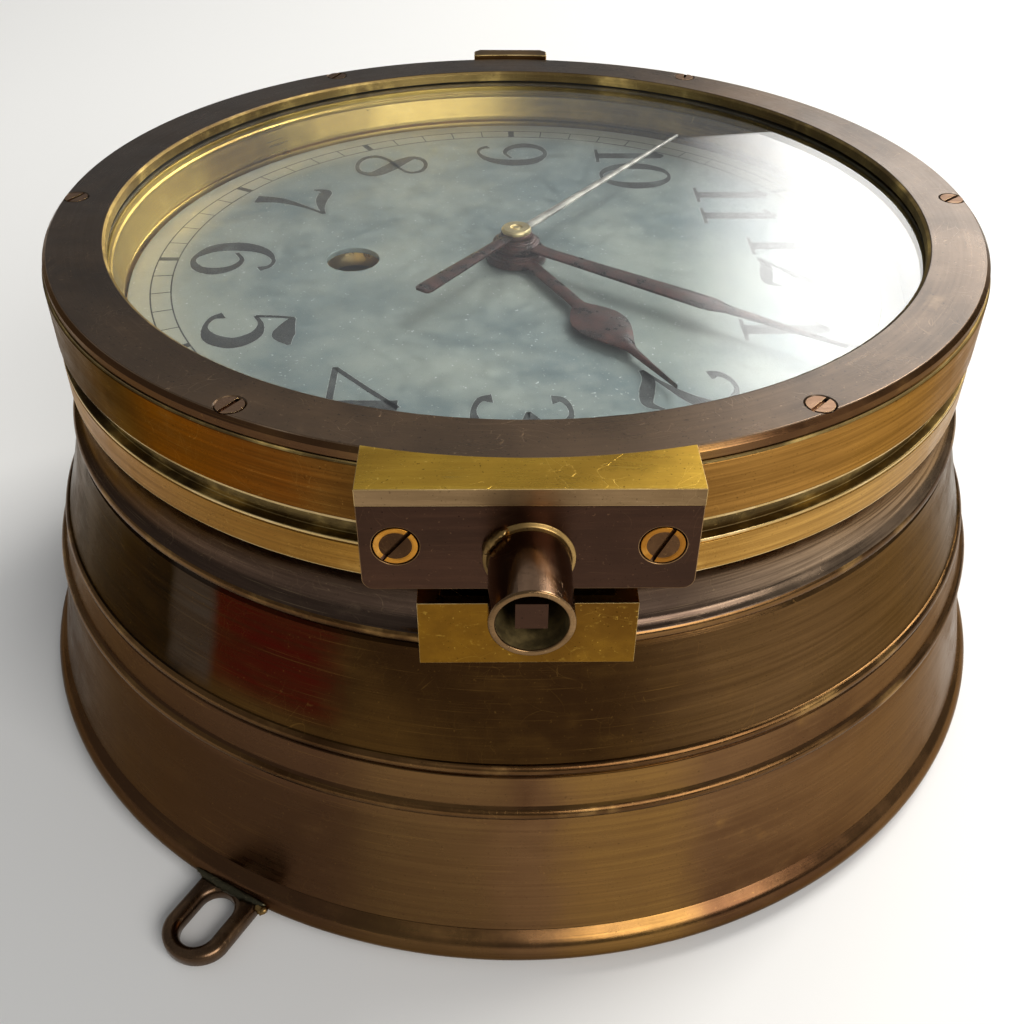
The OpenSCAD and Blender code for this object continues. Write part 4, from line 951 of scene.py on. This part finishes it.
def numerals():
    """Lines of the numerals 1 to 12, all upright, tops towards twelve."""
    height, reach, stretch = 18.0, 61.8, 1.2
    lines = []
    for hour in range(1, 13):
        text = str(hour)
        widths = [0.82] if hour < 10 else [0.56 if c == "1" else 0.80 for c in text]
        cx, cy = polar(reach, -30 * hour)
        start = -sum(widths) / 2
        for char, width in zip(text, widths):
            offset = start if char != "1" else start + (0.12 if hour < 10 else 0.06)
            closed = char in "08"
            for points in STROKES[char]:
                lines.append(([
                    (cx + (y - 0.5) * height, cy - (x + offset) * height * stretch,
                     max(w * 1.32, 0.05) * height) for x, y, w in catmull(points, closed)
                ], closed))
            start += width
    return lines


def minute_track():
    """Lines of the two circles and the sixty strokes between them."""
    inner, outer, thin, broad = 73.8, 78.0, 0.26, 1.5
    lines = []
    for r in (inner, outer):
        lines.append(([(*polar(r, 1.5 * k), 0.3) for k in range(240)], True))
    for minute in range(60):
        width, ends = (thin, (inner, outer)) if minute % 5 else (broad, (inner - 0.1, outer + 0.1))
        lines.append(([(*polar(r, 6 * minute), width) for r in ends], False))
    return lines


inlaid("numerals_cut_edge", numerals(), 0.11, dial_top + 0.012, cut_paint)
inlaid("numerals_filling", numerals(), 0.0, dial_top + 0.024, wax_paint)
inlaid("minute_track_filling", minute_track(), 0.0, dial_top + 0.012, wax_paint)


# ---------- hands ----------

hours_shown = 2.1
hour_angle = -30 * hours_shown
minute_angle = -360 * (hours_shown % 1)
seconds_angle = -306


def blade(name, stations, z0, z1, crown, materials, pick=None, angle=0.0):
    """A crowned hand: stations of (distance, half width), between two heights."""
    across = [-1, -0.8, -0.4, 0, 0.4, 0.8, 1]
    n = len(across)
    verts, faces = [], []
    for x, w in stations:
        for s in across:
            verts.append((x, s * w, z1 - crown * (abs(s) ** 2.2)))
        for s in (1, -1):
            verts.append((x, s * w, z0))
    row = n + 2
    for i in range(len(stations) - 1):
        a, b = i * row, (i + 1) * row
        for k in range(row):
            j = (k + 1) % row
            faces.append((a + k, a + j, b + j, b + k))
    last = (len(stations) - 1) * row
    faces.append(tuple(range(row)))
    faces.append(tuple(last + k for k in reversed(range(row))))
    mesh = mesh_of(name, verts, faces)
    if pick:
        for face in mesh.polygons:
            face.material_index = pick(face.center.x / MM)
    mesh.transform(Matrix.Rotation(math.radians(angle), 4, "Z"))
    return finish_mesh(name, mesh, materials, sharp=40)


def collet(name, levels, bore, material):
    """A turned collet: (radius, z) going up, with a bore."""
    outline = [(r, z, 0.18) for r, z in levels]
    return lathe(name, filleted([(bore, levels[0][1], 0)] + outline + [(bore, levels[-1][1], 0)]),
                 [material], steps=72)


PEAR_START, PEAR_END, HOUR_TIP = 27, 47, 62
SHANK, PEAR_WIDTH = 1.5, 5.3


def pear(t):
    """Half width of the hour hand along its pear, t going from 0 to 1."""
    if t <= 0 or t >= 1:
        return SHANK if t <= 0 else 1.0
    return SHANK + (1 - SHANK) * t + (PEAR_WIDTH - 1) * math.sin(math.pi * t ** 0.8) ** 1.25


hour_z = dial_top + 1.5
hour_stations = (
    [(4, 1.9), (10, SHANK), (20, SHANK)]
    + [(PEAR_START + (PEAR_END - PEAR_START) * k / 24, pear(k / 24)) for k in range(25)]
    + [(PEAR_END + (HOUR_TIP - PEAR_END) * k / 6, 1.0 - 0.86 * k / 6) for k in range(1, 7)]
)
hour_hand = joined("pear_hour_hand", [
    blade("hour_blade", hour_stations, hour_z, hour_z + 0.8, 0.45, [hand_paint], angle=hour_angle),
    collet("hour_collet", [(6.6, dial_top + 0.4), (6.7, dial_top + 1.5), (6.7, dial_top + 2.1),
                           (5.9, dial_top + 2.3), (5.9, dial_top + 2.95)], 3.1, hand_paint),
])
placed(hour_hand, "hour train", "hour_hand")

minute_z = dial_top + 3.6
minute_hand = joined("tapered_minute_hand", [
    blade("minute_blade", [(3, 1.8), (12, 1.7), (30, 2.1), (46, 2.45), (48, 2.25), (51, 1.25), (60, 0.85),
                           (70, 0.45), (76, 0.12)],
          minute_z, minute_z + 0.8, 0.3, [hand_paint], angle=minute_angle),
    collet("minute_collet", [(5.0, dial_top + 3.25), (5.1, dial_top + 3.5), (5.1, dial_top + 4.5),
                             (4.3, dial_top + 4.7), (4.3, dial_top + 5.05), (3.9, dial_top + 5.2),
                             (3.9, dial_top + 5.55)], 2.3, hand_paint),
])
placed(minute_hand, "minute train", "minute_hand")

seconds_z = dial_top + 6.0
seconds_hand = joined("centre_seconds_hand", [
    blade("seconds_blade",
          [(-33, 1.2), (-32.6, 1.7), (-31.6, 1.9), (-2, 1.2), (2, 1.0), (2.5, 1.1), (40, 0.75), (72, 0.35)],
          seconds_z, seconds_z + 0.6, 0.2, [hand_paint, pale_paint], lambda x: 1 if x > 2.2 else 0,
          angle=seconds_angle),
    collet("seconds_collet", [(3.3, dial_top + 5.82), (3.4, dial_top + 6.0), (3.4, seconds_z + 0.58)], 1.6,
           hand_paint),
])
placed(seconds_hand, "seconds train", "seconds_hand")

cap = lathe("turned_cap", filleted([
    (0.8, seconds_z - 0.2, 0), (1.5, seconds_z - 0.2, 0), (1.5, seconds_z + 0.6, 0),
    (3.2, seconds_z + 0.6, 0.1), (3.2, seconds_z + 1.2, 0.15), (2.9, seconds_z + 1.55, 0.15),
    (1.3, seconds_z + 1.55, 0.08), (1.2, seconds_z + 1.25, 0.05), (0.75, seconds_z + 1.25, 0.05),
    (0.7, seconds_z + 1.5, 0.1), (0.0, seconds_z + 1.55, 0), (0.0, seconds_z + 0.95, 0),
    (0.8, seconds_z + 0.95, 0),
]), [cap_paint], steps=72)
placed(cap, "seconds train", "seconds_hand_cap")


# ---------- CAD nodes that keep their own shape ----------

FINISH = {
    "steel": steel_paint,
    "blued_steel": blued_paint,
    "movement_brass": movement_paint,
    "gasket": rubber_paint,
}
OWN = {"lock_arbor": cover_paint, "lock_claw": dark_steel_paint}
for row in frame["record"]["subparts"]:
    paint = FINISH.get(row["material_slot"])
    if paint:
        cad = frame["nodes"][row["node"]]
        cad.data.materials.clear()
        cad.data.materials.append(OWN.get(row["node"], paint))


# ---------- stage ----------

def area_light(name, at, aim, size, power, colour, soft=0.0, roll=0.0):
    """A rectangular lamp; soft is the share of its width that fades out at one side."""
    data = bpy.data.lights.new(name, "AREA")
    data.shape = "RECTANGLE"
    if soft:
        data.use_nodes = True
        nodes, links = data.node_tree.nodes, data.node_tree.links
        across = nodes.new("ShaderNodeSeparateXYZ")
        links.new(nodes.new("ShaderNodeNewGeometry").outputs["Parametric"], across.inputs[0])
        fade = nodes.new("ShaderNodeMapRange")
        fade.interpolation_type = "SMOOTHSTEP"
        links.new(across.outputs["X"], fade.inputs["Value"])
        fade.inputs["From Min"].default_value = 1.0
        fade.inputs["From Max"].default_value = 1.0 - soft
        links.new(fade.outputs[0], nodes["Emission"].inputs["Strength"])
    data.size, data.size_y = size
    data.energy = power
    data.color = colour
    lamp = bpy.data.objects.new(name, data)
    lamp.location = at
    lamp.rotation_mode = "QUATERNION"
    towards = (Vector(aim) - Vector(at)).to_track_quat("-Z", "Y")
    lamp.rotation_quaternion = towards @ Quaternion((0, 0, 1), math.radians(roll))
    bpy.context.scene.collection.objects.link(lamp)


def make_stage():
    half = 4.0
    mesh = bpy.data.meshes.new("floor")
    corners = [(-half, -half, 0), (half, -half, 0), (half, half, 0), (-half, half, 0)]
    mesh.from_pydata(corners, [], [(0, 1, 2, 3)])
    s = Shade("pale floor")
    s.put(s.shader.inputs["Base Color"], (0.84, 0.84, 0.83, 1.0))
    s.put(s.shader.inputs["Roughness"], 0.6)
    mesh.materials.append(s.material)
    floor = bpy.data.objects.new("floor", mesh)
    floor.location.z = -0.0002
    bpy.context.scene.collection.objects.link(floor)
    world = bpy.data.worlds.new("soft room")
    world.use_nodes = True
    background = world.node_tree.nodes["Background"]
    background.inputs["Color"].default_value = (0.96, 0.98, 1.0, 1.0)
    background.inputs["Strength"].default_value = 0.26
    bpy.context.scene.world = world
    bpy.context.scene.view_settings.view_transform = "Standard"
    glass_middle, warm = (0, 0, 0.10), (1.0, 0.98, 0.95)
    area_light("window", (0.56, 1.05, 0.67), glass_middle, (0.74, 0.42), 4.3, (1.0, 0.99, 0.97), 0.33, 13)
    area_light("panel", (-0.1, 1.05, 1.18), glass_middle, (1.1, 0.5), 0.7, warm)
    area_light("key", (1.0, 0.75, 1.35), (0, 0, 0.05), (0.7, 0.7), 24, (1.0, 0.97, 0.92))
    area_light("fill", (0.75, -1.1, 0.9), (0.1, -0.2, 0.0), (1.0, 0.8), 17, warm)


def make_camera():
    """At the photograph's place: looking down from the lock's side, a little left of it."""
    heading, pitch, roll = math.radians(1.272), math.radians(38.22), math.radians(0.612)
    level = Vector((math.cos(heading), -math.sin(heading), 0))
    ahead = Vector((math.sin(heading), math.cos(heading), 0))
    forward = ahead * math.cos(pitch) - Vector((0, 0, math.sin(pitch)))
    upright = level.cross(forward)
    right = level * math.cos(roll) + upright * math.sin(roll)
    up = upright * math.cos(roll) - level * math.sin(roll)
    data = bpy.data.cameras.new("camera")
    data.sensor_width = 36
    data.lens = 40.32
    data.clip_start = 0.01
    camera = bpy.data.objects.new("camera", data)
    camera.rotation_mode = "QUATERNION"
    camera.rotation_quaternion = Matrix((right, up, -forward)).transposed().to_quaternion()
    camera.location = Vector((-5.48, -232.4, 203.15)) * MM
    bpy.context.scene.collection.objects.link(camera)
    bpy.context.scene.camera = camera


make_stage()
make_camera()
